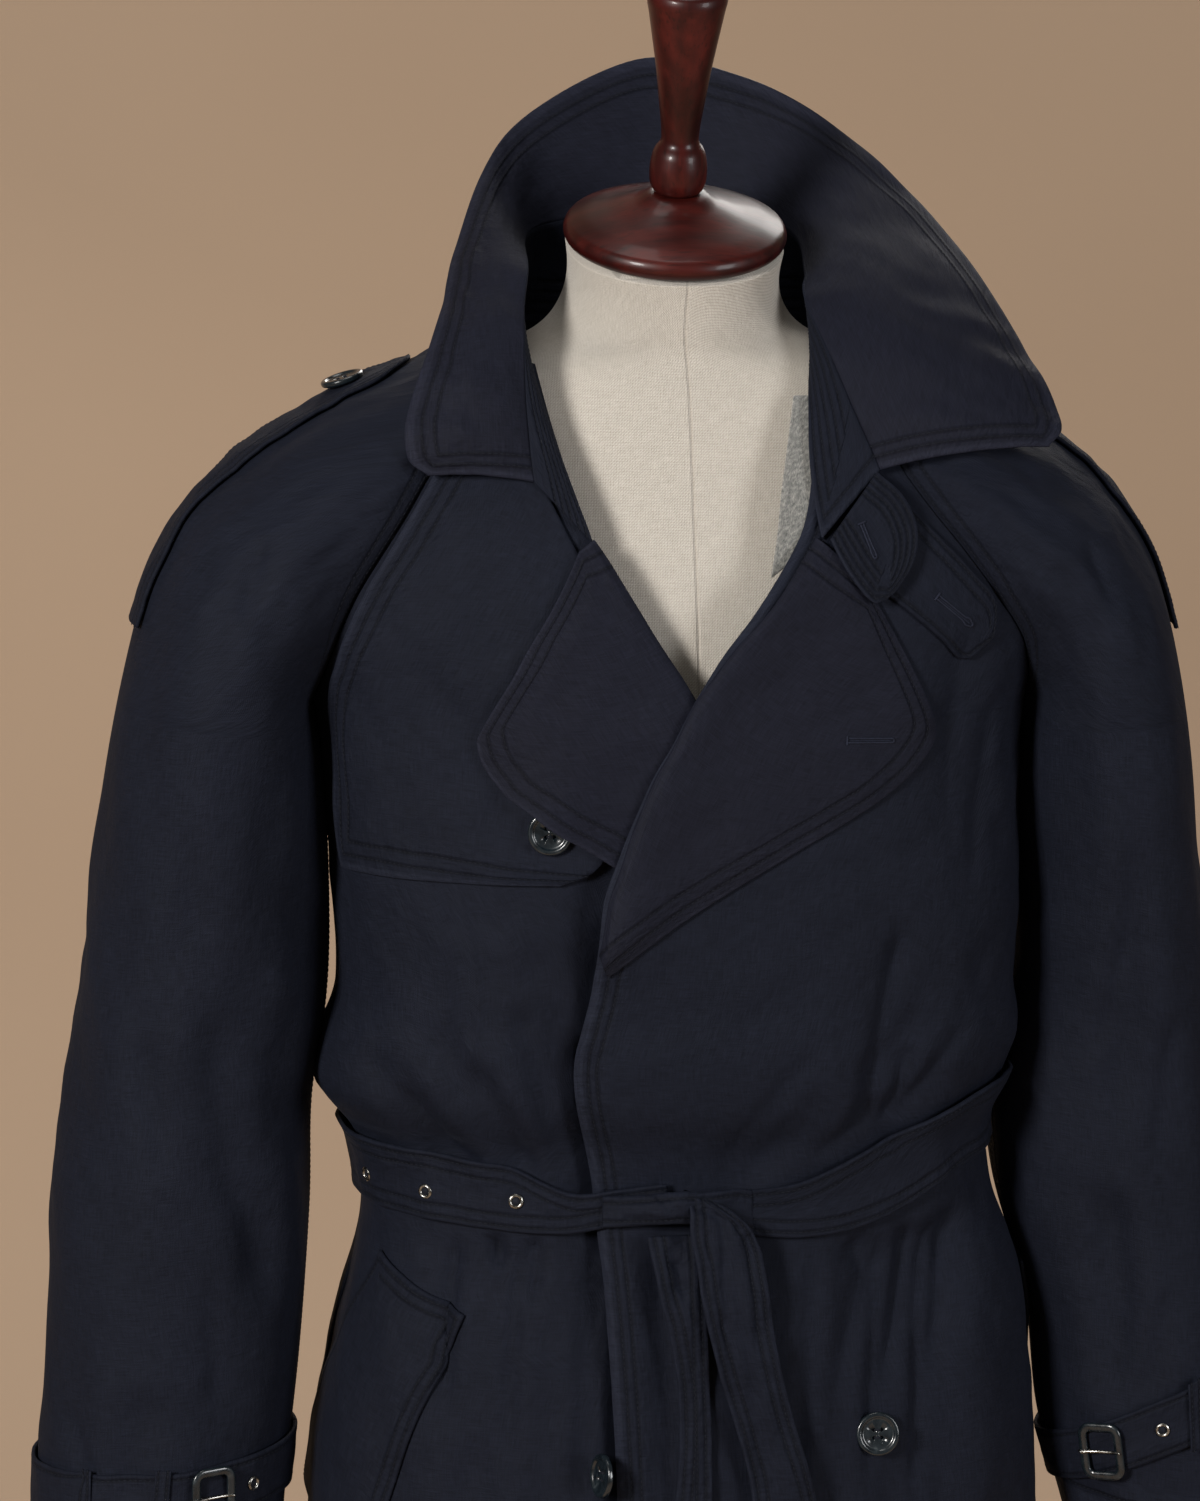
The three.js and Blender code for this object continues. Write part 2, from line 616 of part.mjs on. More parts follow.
const TAB_EDGES = ["lowX", "lowZ", "highX", "highZ"];
const LAPEL_EDGES = ["rollX", "rollZ", "edgeX", "edgeZ"];
const LAPEL_STEPS = [0, 0.12, 0.24, 0.34, 0.42, 0.48, 0.54, 0.62, 0.72, 0.82, 0.91, 1];
frontPatch("lapel_left", LAPEL_LEFT, LAPEL_EDGES, LAPEL_STEPS, 6,
  (x, z, u) => levelLeft(x, z) + GAP + CLOTH + 0.6 + 3 * Math.sin(Math.PI * u), CLOTH);
frontPatch("lapel_right", LAPEL_RIGHT, LAPEL_EDGES, LAPEL_STEPS, 6,
  (x, z, u) => {
    const under = Math.max(0, x - read(EDGE_LEFT, "z", z).x);
    const overButton = Math.exp(-((Math.hypot(x - CHEST_BUTTON.x, z - CHEST_BUTTON.z) / 22) ** 2));
    return 6.8 - 0.2 * under + 8.2 * overButton;
  }, CLOTH);

{
  const flapRows = [1262, 1267, 1276, 1292, 1320, 1350, 1375, 1400, 1425, 1450, 1472, 1490];
  const place = (u, z, level) => {
    const edge = read(STORM_FLAP, "z", z);
    return onTrunk(mix(turnOf(edge.outerX, z), turnOf(edge.innerX, z), u), z, level);
  };
  sheet("storm_flap", flapRows, shares(8), place, () => STORM_LEVEL, CLOTH);
}
frontPatch("chest_tab", CHEST_TAB, TAB_EDGES, [0, 0.25, 0.5, 0.72, 0.88, 1], 3,
  (x, z) => levelLeft(x, z) + GAP + BAND + 0.4, BAND);
frontPatch("throat_tab", THROAT_TAB, TAB_EDGES, [0, 0.2, 0.4, 0.6, 0.78, 0.92, 1], 3,
  (x, z) => levelLeft(x, z) + 2 * (GAP + BAND) + 4.2, BAND);
frontPatch("neck_lining", NECK_LINING, TAB_EDGES, [0, 0.2, 0.4, 0.6, 0.8, 1], 2,
  () => -CLOTH - GAP - 0.2, CLOTH, WOOL_LOOK);

// Stand and leaf of the collar. The side seen from inside the neck is the outer skin here.
const COLLAR_SHARES = [0, 0.02, 0.05, 0.09, 0.14, 0.2, 0.26, 0.32, 0.37, 0.42, 0.46, 0.5, 0.54, 0.58, 0.63,
  0.68, 0.73, 0.78, 0.83, 0.88, 0.93, 0.97, 1];
function stand(share, up) {
  const line = read(COLLAR, "share", share);
  const foot = vec(line.footX, line.footY, line.footZ);
  const turn = vec(line.turnX, line.turnY, line.turnZ);
  return foot.lerp(turn, up);
}
function leaf(share, out) {
  const line = read(COLLAR, "share", share);
  const turn = vec(line.turnX, line.turnY, line.turnZ);
  const edge = vec(line.edgeX, line.edgeY, line.edgeZ);
  const swell = 4 * line.swell * out * (1 - out);
  return turn.lerp(edge, out).add(vec(0, -0.8, 0.6).multiplyScalar(swell));
}
sheet("collar_stand", COLLAR_SHARES, [0, 0.45, 0.9],
  (u, v, level) => lifted((a, b) => stand(b, a), u, v, 0.02, 0.005, level), () => CLOTH, CLOTH);
sheet("collar", COLLAR_SHARES, [0.01, 0.18, 0.38, 0.58, 0.79, 1],
  (u, v, level) => lifted((a, b) => leaf(b, a), u, v, 0.02, 0.005, level), () => CLOTH, CLOTH);

// Belt band, its knot and the two tails
const beltPlace = (u, turn, level) => {
  const line = read(BELT, "turn", turn);
  return onTrunk(turn, line.z + (2 * u - 1) * line.half, level);
};
const BELT_LEVEL = BAND + 3;
const beltTurns = shares(38).map((share) => mix(BELT[0].turn, BELT.at(-1).turn, share));
sheet("belt_band", beltTurns, [0, 0.5, 1], beltPlace, () => BELT_LEVEL, BAND);

function softBlock(name, centre, half, power, look) {
  const geometry = new THREE.SphereGeometry(1, 16, 10);
  const places = geometry.getAttribute("position");
  for (let i = 0; i < places.count; i += 1) {
    const unit = [places.getX(i), places.getY(i), places.getZ(i)].map((v) => signedPower(v, power));
    places.setXYZ(i, unit[0] * half.x, unit[1] * half.y, unit[2] * half.z);
  }
  const mesh = add(name, geometry, look);
  mesh.position.copy(centre);
  return mesh;
}
softBlock("belt_knot", onFront(KNOT.x, KNOT.z, GAP + KNOT.deep / 2),
  vec(KNOT.wide / 2, KNOT.deep / 2, KNOT.tall / 2), 0.8, CLOTH_LOOK);

for (const [name, rows] of [["belt_tail_front", TAIL_FRONT], ["belt_tail_back", TAIL_BACK]]) {
  const place = (u, z, level) => {
    const line = read(rows, "z", z);
    return onFront(line.x + (2 * u - 1) * line.half, z, level + line.out);
  };
  const steps = shares(10).map((share) => mix(rows[0].z, rows.at(-1).z, share));
  sheet(name, steps, [0, 0.33, 0.67, 1], place, () => 0, BAND);
}

// Epaulettes, cuff straps and their loops, on the sleeves
const EPAULETTE = table("row half", [
  [9.2, 0.13],
  [10, 0.135],
  [12, 0.14],
  [14, 0.15],
  [14.9, 0.15],
  [15.4, 0.03],
]);
const EPAULETTE_LEVEL = BAND + 1.2;
const SLEEVES = {
  left: {
    rows: SLEEVE_LEFT,
    strapRow: (share) => 1.15 + 0.55 * Math.cos(Math.PI * (share - 0.1)),
    buckle: 0.72,
    spin: 0.1,
    eyelet: 0.555,
    loops: [0.47, 0.36],
  },
  right: {
    rows: SLEEVE_RIGHT,
    strapRow: () => 1.12,
    buckle: 0.61,
    spin: 0,
    eyelet: 0.73,
    loops: [0.29, 0.49],
  },
};
const STRAP_HALF = 0.24; // half the strap's width, in sleeve rows
const STRAP_LEVEL = BAND + 1.2;

// A small round or flat piece stood on a place, with its own +Y along the outward direction and its
// own X level
function standOn(mesh, place, out, spin = 0) {
  const across = vec(0, 0, 1).cross(out).normalize();
  const basis = new THREE.Matrix4().makeBasis(across, out, across.clone().cross(out));
  mesh.quaternion.setFromRotationMatrix(basis);
  mesh.rotateY(spin);
  mesh.position.copy(place);
}
function lathe(name, profile, segments, look) {
  const points = profile.map(([r, h]) => new THREE.Vector2(r, h));
  return add(name, new THREE.LatheGeometry(points, segments), look);
}
const RING_PROFILE = [
  [2.3, 0],
  [4, 0],
  [4, 0.6],
  [3.1, 1.2],
  [2.3, 0.6],
  [2.3, 0],
];
function eyelet(name, surface) {
  const place = surface(GAP);
  standOn(lathe(name, RING_PROFILE, 12, METAL_LOOK), place, surface(GAP + 1).sub(place).normalize());
}
const BUTTON_PROFILE = [
  [0, 0],
  [BUTTON.radius - 1.5, 0],
  [BUTTON.radius, 1.4],
  [BUTTON.radius, BUTTON.thick - 1],
  [BUTTON.radius - 1.6, BUTTON.thick],
  [BUTTON.radius - 3.4, BUTTON.thick - 1.2],
  [0, BUTTON.thick - 1.6],
];
function button(name, place, out) {
  standOn(lathe(name, BUTTON_PROFILE, 18, HORN_LOOK), place, out);
}
function frame(name, size, surface, spin) {
  const { wide, tall, bar, thick } = size;
  const outline = (w, h, r, Path) => new Path()
    .moveTo(-w + r, -h).lineTo(w - r, -h).quadraticCurveTo(w, -h, w, -h + r)
    .lineTo(w, h - r).quadraticCurveTo(w, h, w - r, h)
    .lineTo(-w + r, h).quadraticCurveTo(-w, h, -w, h - r)
    .lineTo(-w, -h + r).quadraticCurveTo(-w, -h, -w + r, -h);
  const shape = outline(wide / 2, tall / 2, 5, THREE.Shape);
  shape.holes.push(outline(wide / 2 - bar, tall / 2 - bar, 2.5, THREE.Path));
  const options = { depth: thick, bevelEnabled: false, curveSegments: 3 };
  const geometry = new THREE.ExtrudeGeometry(shape, options).rotateX(-Math.PI / 2);
  const place = surface(GAP);
  standOn(add(name, geometry, HORN_LOOK), place, surface(GAP + 1).sub(place).normalize(), spin);
}

for (const [side, made] of Object.entries(SLEEVES)) {
  const flat = (u, row, level) =>
    onSleeve(made.rows, row, (2 * u - 1) * read(EPAULETTE, "row", row).half, level);
  sheet("epaulette_" + side, [9.2, 10, 11, 12, 13, 14, 14.9, 15.15, 15.4], [0, 0.33, 0.67, 1], flat,
    () => EPAULETTE_LEVEL, BAND);
  const seat = onSleeve(made.rows, 14.3, 0, EPAULETTE_LEVEL + 0.5);
  const up = onSleeve(made.rows, 14.3, 0, EPAULETTE_LEVEL + 1.5).sub(seat).normalize();
  button("button_shoulder_" + side, seat, up);

  const strap = (u, share, level) =>
    onSleeve(made.rows, made.strapRow(share) + (2 * u - 1) * STRAP_HALF, share, level);
  const turns = shares(26).map((share) => mix(-0.998, 0.998, share));
  sheet("cuff_strap_" + side, turns, [0, 0.5, 1], strap, () => STRAP_LEVEL, BAND);
  made.loops.forEach((share, i) => {
    const loop = (u, v, level) => strap(mix(-0.1, 1.1, v), share + (u - 0.5) * 0.03, level);
    const name = "strap_loop_" + side + "_" + (i + 1);
    sheet(name, shares(3), [0, 1], loop, () => STRAP_LEVEL + 2.1, 1.5);
  });
  eyelet("strap_eyelet_" + side, (level) => strap(0.5, made.eyelet, STRAP_LEVEL + level));
  frame("cuff_buckle_" + side, CUFF_BUCKLE, (level) => strap(0.5, made.buckle, STRAP_LEVEL - 0.1 + level),
    made.spin);
}
const tailEnd = TAIL_BACK[0];
frame("belt_buckle", BELT_BUCKLE, (level) =>
  onFront(tailEnd.x, tailEnd.z - GAP - BELT_BUCKLE.tall / 2, level + tailEnd.out - BELT_BUCKLE.thick / 2), 0);
BELT_EYELETS.forEach(([turn, z], i) =>
  eyelet("belt_eyelet_" + (i + 1), (level) => onTrunk(turn, z, BELT_LEVEL + level)));

// Pocket welts
for (const [name, side] of [["welt_left", 1], ["welt_right", -1]]) {
  const place = (u, v, level) => {
    const line = read(WELT, "share", v);
    const turn = mix(line.frontTurn, line.backTurn, u);
    return onTrunk(side > 0 ? turn - WELT_LEFT_BACK : 180 - turn, mix(line.frontZ, line.backZ, u), level);
  };
  sheet(name, shares(8), [0, 0.25, 0.5, 0.75, 1], place, () => BAND + 1.9, BAND);
}

// Buttons of the front
function frontButton(name, x, z, level, turned = 0) {
  const place = onFront(x, z, level);
  const out = onFront(x, z, level + 1).sub(place).normalize();
  button(name, place, out.applyAxisAngle(vec(0, 0, 1), radians(turned)));
}
frontButton("button_chest", CHEST_BUTTON.x, CHEST_BUTTON.z, STORM_LEVEL + GAP + 0.6);
frontButton("button_skirt_left", 99, 952, GAP + 1.8);
frontButton("button_skirt_right", -54, 940, 6.6, -62);

// Dress form
function shoulderX(rows, z) {
  let low = 11;
  let high = 17;
  for (let i = 0; i < 30; i += 1) {
    const row = (low + high) / 2;
    if (read(rows, "row", row).topZ < z) low = row;
    else high = row;
  }
  return Math.abs(read(rows, "row", low).topX);
}
const SHOULDER_HEIGHTS = [1468, 1488, 1502, 1514, 1525, 1534];
const shoulders = SHOULDER_HEIGHTS.map((z, i) => {
  const top = z + CLOTH + REST;
  const most = 184 - i * 3;
  return {
    z,
    left: Math.min(shoulderX(SLEEVE_RIGHT, top), most),
    right: Math.min(shoulderX(SLEEVE_LEFT, top), most),
    deep: mix(78, 56, i / (SHOULDER_HEIGHTS.length - 1)),
    midX: 0,
    midY: 10,
    tilt: 0,
  };
});
const both = (rows) => rows.map((row) => ({ ...row, left: row.wide, right: row.wide }));
const sections = [...both(TORSO), ...shoulders, ...both(TORSO_NECK)];
{
  const around = 26;
  const points = sections.flatMap((row) =>
    Array.from({ length: around }, (_, j) => {
      const angle = (j * 2 * Math.PI) / around;
      const half = Math.cos(angle) > 0 ? row.right : row.left;
      const x = half * signedPower(Math.cos(angle), 0.92);
      const y = -row.deep * signedPower(Math.sin(angle), 0.92);
      return vec(x, y, 0).applyAxisAngle(vec(1, 0, 0), radians(row.tilt)).add(vec(row.midX, row.midY, row.z));
    }));
  const first = sections[0];
  const last = sections.at(-1);
  points.push(vec(first.midX, first.midY, first.z), vec(last.midX, last.midY, last.z));
  const faces = [];
  for (let j = 0; j < around; j += 1) {
    const next = (j + 1) % around;
    for (let i = 0; i < sections.length - 1; i += 1) {
      const a = i * around + j;
      const b = i * around + next;
      faces.push(a, b, b + around, a, b + around, a + around);
    }
    const top = (sections.length - 1) * around;
    faces.push(points.length - 2, next, j, points.length - 1, top + j, top + next);
  }
  add("form_torso", solid(points, faces), LINEN_LOOK);
}
const head = new THREE.Group();
head.position.set(CAP_PLACE.x, CAP_PLACE.y, CAP_PLACE.z);
head.rotation.set(radians(90 + NECK_TILT), 0, 0);
coat.add(head);
head.add(lathe("neck_cap", CAP_PROFILE, 32, WOOD_LOOK), lathe("finial", FINIAL_PROFILE, 20, WOOD_LOOK));
const foot = lathe("base", BASE_PROFILE, 40, WOOD_LOOK);
foot.rotation.x = Math.PI / 2;
const pole = add("pole", new THREE.CylinderGeometry(POLE_RADIUS, POLE_RADIUS,
  TORSO_FOOT - BASE_THICK - 2 * GAP, 20), WOOD_LOOK);
pole.rotation.x = Math.PI / 2;
pole.position.z = (TORSO_FOOT + BASE_THICK) / 2;

export default coat;
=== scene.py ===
"""Belted trench coat on a dress form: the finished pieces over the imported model.

The tables are in millimetres. Every piece is made where its solid is, in metres.
"""
import math
import bpy
import numpy as np
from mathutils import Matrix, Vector
from mathutils.bvhtree import BVHTree


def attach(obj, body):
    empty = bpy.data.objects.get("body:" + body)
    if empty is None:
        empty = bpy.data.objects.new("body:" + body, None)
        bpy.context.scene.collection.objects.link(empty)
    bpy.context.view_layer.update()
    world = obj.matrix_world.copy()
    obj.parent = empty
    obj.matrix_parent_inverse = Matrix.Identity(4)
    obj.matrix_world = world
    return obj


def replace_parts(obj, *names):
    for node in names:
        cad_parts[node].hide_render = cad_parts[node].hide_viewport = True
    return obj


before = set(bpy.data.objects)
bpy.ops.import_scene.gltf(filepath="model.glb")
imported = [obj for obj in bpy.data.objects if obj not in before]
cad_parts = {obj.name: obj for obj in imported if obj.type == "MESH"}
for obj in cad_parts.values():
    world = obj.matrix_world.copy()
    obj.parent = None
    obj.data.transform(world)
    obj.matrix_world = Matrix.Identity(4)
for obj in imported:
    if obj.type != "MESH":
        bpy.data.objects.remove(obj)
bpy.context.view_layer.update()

MM = 0.001
CLOTH = 1.8  # one wall of coat cloth
BAND = 2.4  # belt, straps and tabs, of doubled cloth
GAP = 0.3  # between two pieces
REST = 1.3  # between the coat's wall and the form under it
SQUARE = 2.4  # power of the trunk's rounded sections
WRAP = 6.0  # how far the right front is pushed in under the left one
ROLL_RISE = 10.5  # how far the left roll line stands off the chest
STORM_LEVEL = 3.6  # outer side of the storm flap over the front
BELT_LEVEL = BAND + 3
STRAP_LEVEL = BAND + 1.2
STRAP_HALF = 0.24  # half a cuff strap's width, in sleeve rows
EPAULETTE_LEVEL = BAND + 1.2
WELT_LEFT_BACK = 42  # degrees further round than the right one
LOOP_THICK = 1.5  # strap loops
PER_DEGREE = 3.1  # millimetres round the trunk in one degree
SEAM_TURN = 0.06  # degrees from a seam to the panels beside it
SEAM_SHARE = 0.0009  # the same on a sleeve, as a share of the way round
ARMPIT = 8  # sleeve row where the tube ends and the raglan starts
NECK = 17  # last sleeve row
HEM = 430  # height of the skirt's lower edge
WAIST = 1040  # height above which the trunk's grid is closer
ARMPIT_HEIGHT = 1345
SHOULDER_TOP = 1530  # height where the form's neck runs into its shoulders
CHEST_BUTTON = (-82, 1291)  # x and z
CUFF_BUCKLE = {"wide": 26, "tall": 34, "bar": 5, "thick": 3}
BELT_BUCKLE = {"wide": 54, "tall": 44, "bar": 6, "thick": 4}
# Stitch rows along both long edges: from the edge, apart, and how many
BELT_SEAMS = {"low": (2.5, 6, 2), "high": (2.5, 6, 2)}
STRAP_SEAMS = {"low": (2.5, 6, 1), "high": (2.5, 6, 1)}
TAIL_END = (-18, 810, 3.4)  # lower end of the belt's back tail: x, z and level
FULL_TURN = 6.283


def add_object(name, data):
    added = bpy.data.objects.new(name, data)
    bpy.context.scene.collection.objects.link(added)
    return added


def aim_camera():
    """The photograph's viewpoint: a little from the wearer's right and from above."""
    azimuth, elevation, distance = math.radians(-7), math.radians(9), 2.4
    target = Vector((-0.042, 0, 1.316))
    data = bpy.data.cameras.new("camera")
    data.sensor_width = 36
    data.lens = 103.6
    camera = add_object("camera", data)
    away = Vector((math.sin(azimuth) * math.cos(elevation), -math.cos(azimuth) * math.cos(elevation),
                   math.sin(elevation)))
    camera.location = target + distance * away
    camera.rotation_euler = (math.pi / 2 - elevation, 0, azimuth)
    bpy.context.scene.camera = camera


aim_camera()


def table(names, text):
    """Columns by name, from lines of numbers."""
    rows = [line.split() for line in text.strip().split("\n")]
    return dict(zip(names.split(), np.array(rows, float).T))


# Rings of the trunk: half widths to each side, and depths to the front and back
TRUNK = table("z left right front back", """
430 250 246 160 162
560 238 236 150 152
700 225 224 140 142
800 216 215 134 134
880 209 208 130 126
940 203 205 127 118
1000 191 200 121 108
1040 181 190 112 98
1062 177 181 105 92
1085 177 177 103 88
1110 183 174 107 88
1135 202 184 119 94
1160 200 193 122 102
1190 190 190 121 105
1235 192 193 120 107
1290 195 192 118 109
1345 200 194 114 110
1385 213 206 109 112
1412 222 212 104 112
1434 228 214 99 110
1455 230 212 93 107
1478 228 206 85 101
1500 215 194 75 95
1520 196 178 63 88
1535 176 162 52 82
1560 150 140 36 72
""")
# Sleeve rows from the cuff to the neck: top line, front seam, back seam, middle and half depth
SLEEVE_RIGHT = table("row topX topZ seamX seamZ backX backZ midY deep", """
0 -362 846 -226 862 -226 862 -16 66
1 -360 905 -221 918 -221 918 -14 68
2 -355 975 -213 985 -213 985 -8 71
3 -350 1060 -206 1065 -206 1065 0 76
4 -342 1125 -207 1125 -207 1125 5 80
5 -332 1190 -203 1182 -203 1182 8 84
6 -324 1250 -200 1238 -200 1238 7 88
7 -316 1310 -200.5 1295 -200.5 1295 3 92
8 -309 1352 -200 1345 -200 1345 0 94
9 -300 1388 -199 1362 -199 1364 0 95
10 -289 1420 -191 1386 -190 1390 2 96
11 -273 1448 -181 1412 -178 1418 4 96
12 -250 1473 -168 1434 -163 1442 6 95
13 -222 1494 -154 1456 -147 1466 8 92
14 -190 1512 -141 1478 -131 1489 9 86
15 -158 1527 -126 1500 -113 1511 10 78
16 -126 1540 -108 1520 -94 1531 12 70
17 -98 1550 -91 1535 -76 1547 13 62
""")
SLEEVE_LEFT = table("row topX topZ seamX seamZ backX backZ midY deep", """
0 352 856 226 872 226 872 -12 64
1 345 915 214 928 214 928 -10 66
2 335 985 211 995 211 995 -4 70
3 326 1060 199 1066 199 1066 6 74
4 317 1125 194 1127 194 1127 12 78
5 308 1185 199 1182 199 1182 12 82
6 299 1240 199 1235 199 1235 8 86
7 292 1295 196 1288 196 1288 3 90
8 286 1340 194 1345 194 1345 0 92
9 279 1378 190 1362 190 1364 0 93
10 270 1412 181 1386 181 1390 2 94
11 256 1442 163 1412 168 1418 4 94
12 237 1467 146 1434 153 1442 6 93
13 213 1489 128 1456 138 1466 8 90
14 184 1508 112 1478 122 1489 9 85
15 153 1525 99 1500 105 1511 10 78
16 121 1540 88 1520 88 1531 12 70
17 92 1550 78 1535 70 1547 13 62
""")
# Edges of the two fronts
EDGE_LEFT = table("z x", """
430 -46
760 -46
925 -48
1009 -52
1094 -59
1156 -71
1204 -61
1271 -49
1359 -6
1441 52
1475 62
1510 64
1540 72
""")
EDGE_RIGHT = table("z x", """
430 80
1204 76
1271 48
1357 -4
1443 -57
1480 -70
1510 -78
1540 -84
""")
# Main folds of the fronts and the back: start, middle and end. A trough is below zero
FOLDS = table("facing x1 z1 x2 z2 x3 z3 wide high", """
1 -180 1170 -150 1122 -124 1090 12 -5
1 -152 1190 -112 1125 -84 1082 11 -5
1 -88 1240 -80 1150 -58 1088 11 -4
1 124 1190 97 1150 88 1108 11 -5
1 140 1160 115 1128 96 1106 10 -4
1 74 1150 40 1112 8 1086 12 -5
1 -114 1072 -122 980 -130 840 13 -5
1 -72 1072 -84 960 -92 760 14 -4
1 88 1068 80 1000 60 800 13 -5
1 122 1070 108 990 96 720 14 -6
1 148 1078 134 990 140 700 13 -5
1 20 1060 30 900 34 600 16 -3
-1 -150 1090 -156 980 -170 700 16 -7
-1 -95 1096 -98 960 -110 640 18 -7
-1 -38 1096 -34 940 -44 600 17 -6
-1 30 1096 36 960 30 640 18 -7
-1 88 1096 84 940 100 600 17 -6
-1 140 1100 148 980 160 700 16 -6
-1 -110 1112 -100 1170 -84 1260 16 -6
-1 -48 1112 -40 1190 -46 1300 16 -5
-1 22 1112 16 1180 24 1280 17 -6
-1 92 1112 84 1180 70 1270 16 -5
""")
# Main folds of the sleeves, by the row and the share of the way round
SLEEVE_FOLDS = table("side row1 turn1 row2 turn2 wide high", """
-1 5.2 0.52 3.1 0.66 13 -6
-1 3.6 0.6 2.4 0.78 12 -6
-1 2.1 0.42 0.9 0.4 12 -5
-1 10.5 0.55 7.4 0.72 17 5
-1 9.4 0.2 6.2 0.3 18 -4
-1 8.2 -0.5 5 -0.62 18 -7
-1 4.6 -0.3 2.6 -0.44 15 -6
1 7.2 0.5 3.1 0.6 13 -6
1 3.3 0.62 1.2 0.72 12 -6
1 3.6 0.24 2.2 0.32 14 -5
1 10.4 0.55 7.4 0.7 17 5
1 8.2 -0.5 5 -0.62 18 -7
1 4.6 -0.3 2.6 -0.44 15 -6
""")
# Lapels from the notch to the lower end
LAPEL_LEFT = table("share rollX rollZ edgeX edgeZ", """
0 62 1443 92 1413
0.22 42 1415 111 1378
0.42 16 1385 126 1345
0.5 5 1372 126 1332
0.58 -6 1358 111 1315
0.7 -20 1332 78 1294
0.82 -36 1299 30 1268
0.92 -48 1264 -18 1239
1 -57 1226 -52 1214
""")
LAPEL_RIGHT = table("share rollX rollZ edgeX edgeZ", """
0 -57 1443 -65 1437
0.15 -49 1431 -76 1414
0.35 -37 1411 -95 1381
0.55 -25 1391 -115 1346
0.65 -18 1380 -119 1333
0.73 -12 1371 -112 1318
0.82 -5 1359 -94 1303
0.92 3 1344 -64 1283
1 10 1332 -38 1266
""")
STORM_FLAP = table("z outerX innerX", """
1262 -187 -78
1268 -188 -62
1280 -189 -52
1310 -190 -42
1360 -192 -43
1385 -187 -47
1412 -177 -52
1440 -161 -68
1470 -143 -82
1490 -131 -90
""")
# Tabs from their sewn end to their tip
CHEST_TAB = table("share lowX lowZ highX highZ", """
0 84 1424 100 1474
0.3 104 1410 120 1452
0.7 132 1387 151 1420
0.88 143 1377 163 1405
1 150 1376 162 1386
""")
THROAT_TAB = table("share lowX lowZ highX highZ", """
0 68 1441 95 1474
0.25 71 1434 108 1462
0.5 76 1425 115 1445
0.75 83 1416 112 1428
0.92 89 1410 102 1414
1 92 1408.5 97 1410
""")
NECK_LINING = table("share lowX lowZ highX highZ", """
0 38 1424 50 1432
0.25 42 1444 60 1450
0.5 46 1470 64 1474
0.8 52 1500 65 1502
1 56 1518 66 1518
""")
# Collar from its right front end round the back to its left front end: foot, turn and edge
COLLAR = table("share footX footY footZ turnX turnY turnZ edgeX edgeY edgeZ swell", """
0 -58 -97.5 1443 -88 -90 1475 -144 -86 1478 4
0.03 -60 -96 1450 -89 -88 1483 -154 -85 1487 6
0.08 -65 -92 1464 -90 -84 1497 -155 -79 1506 9
0.16 -74 -82 1491 -91 -76 1521 -143 -62 1539 10
0.24 -84 -64 1525 -90 -62 1553 -131 -30 1565 8
0.28 -90 -45 1539 -88 -45 1568 -127 -12 1577 6
0.32 -92 -24 1543 -84 -26 1584 -121 10 1592 5
0.4 -87 34 1547 -78 34 1600 -96 68 1640 0
0.45 -60 67.5 1544 -56 74 1606 -66 95 1668 -2
0.5 -4 70.5 1543 -4 93 1610 -4 115 1695 -3
0.55 46 68.5 1544 48 80 1608 55 110 1685 -2
0.6 82 40 1547 70 40 1600 99 94 1661 0
0.68 86 -10 1545 69 -10 1580 143 52 1619 6
0.72 77 -28 1542 66 -23 1573 161 23 1593 9
0.76 67 -46 1534 66 -36 1565 175 -8 1567 12
0.84 62 -69 1510 75 -62 1538 188 -38 1537 14
0.92 61 -84 1480 87 -77 1506 198 -62 1512 13
0.97 63 -92 1458 94 -83 1489 199 -76 1498 10
1 65 -98.5 1444 98 -86 1479 191 -82 1490 7
""")
# Belt round the waist by the turn from the wearer's left side
BELT = table("turn z half", """
-266 1086 10
-258 1082 10
-251 1079 11
-242 1085 16.5
-230 1089 19
-210 1092 19.5
-180 1094 20
-135 1098 20
-90 1103 20
-45 1110 20
0 1117 21
35 1113 22
63 1088 21
76 1078 15
85 1077 11
""")
WELT = table("share frontTurn frontZ backTurn backZ", """
0 50 1021 22 1047
0.5 42 955 5 975
1 34 880 -6 900
""")
# Dress form
TORSO = table("z wide deep midX midY tilt", """
832 150 92 0 0 0
950 158 98 0 0 0
1060 148 82 0 0 0
1110 146 82 0 0 0
1200 162 92 0 0 0
1300 176 100 0 0 0
1380 182 96 0 4 0
1440 184 84 0 8 0
""")
TORSO_NECK = table("z wide deep midX midY tilt", """
1541 82 56 -1 9 1
1547 74 56.5 -2 8 4
1556 64 56 -2 6 9
1568 58.5 56 -2 3 14
1582 57 56.5 -2 0 18
1595.9 59.5 59.5 -1.5 -3 20
""")
EPAULETTE = table("row half", """
9.2 0.13
10 0.135
12 0.14
14 0.15
14.9 0.15
15.4 0.03
""")
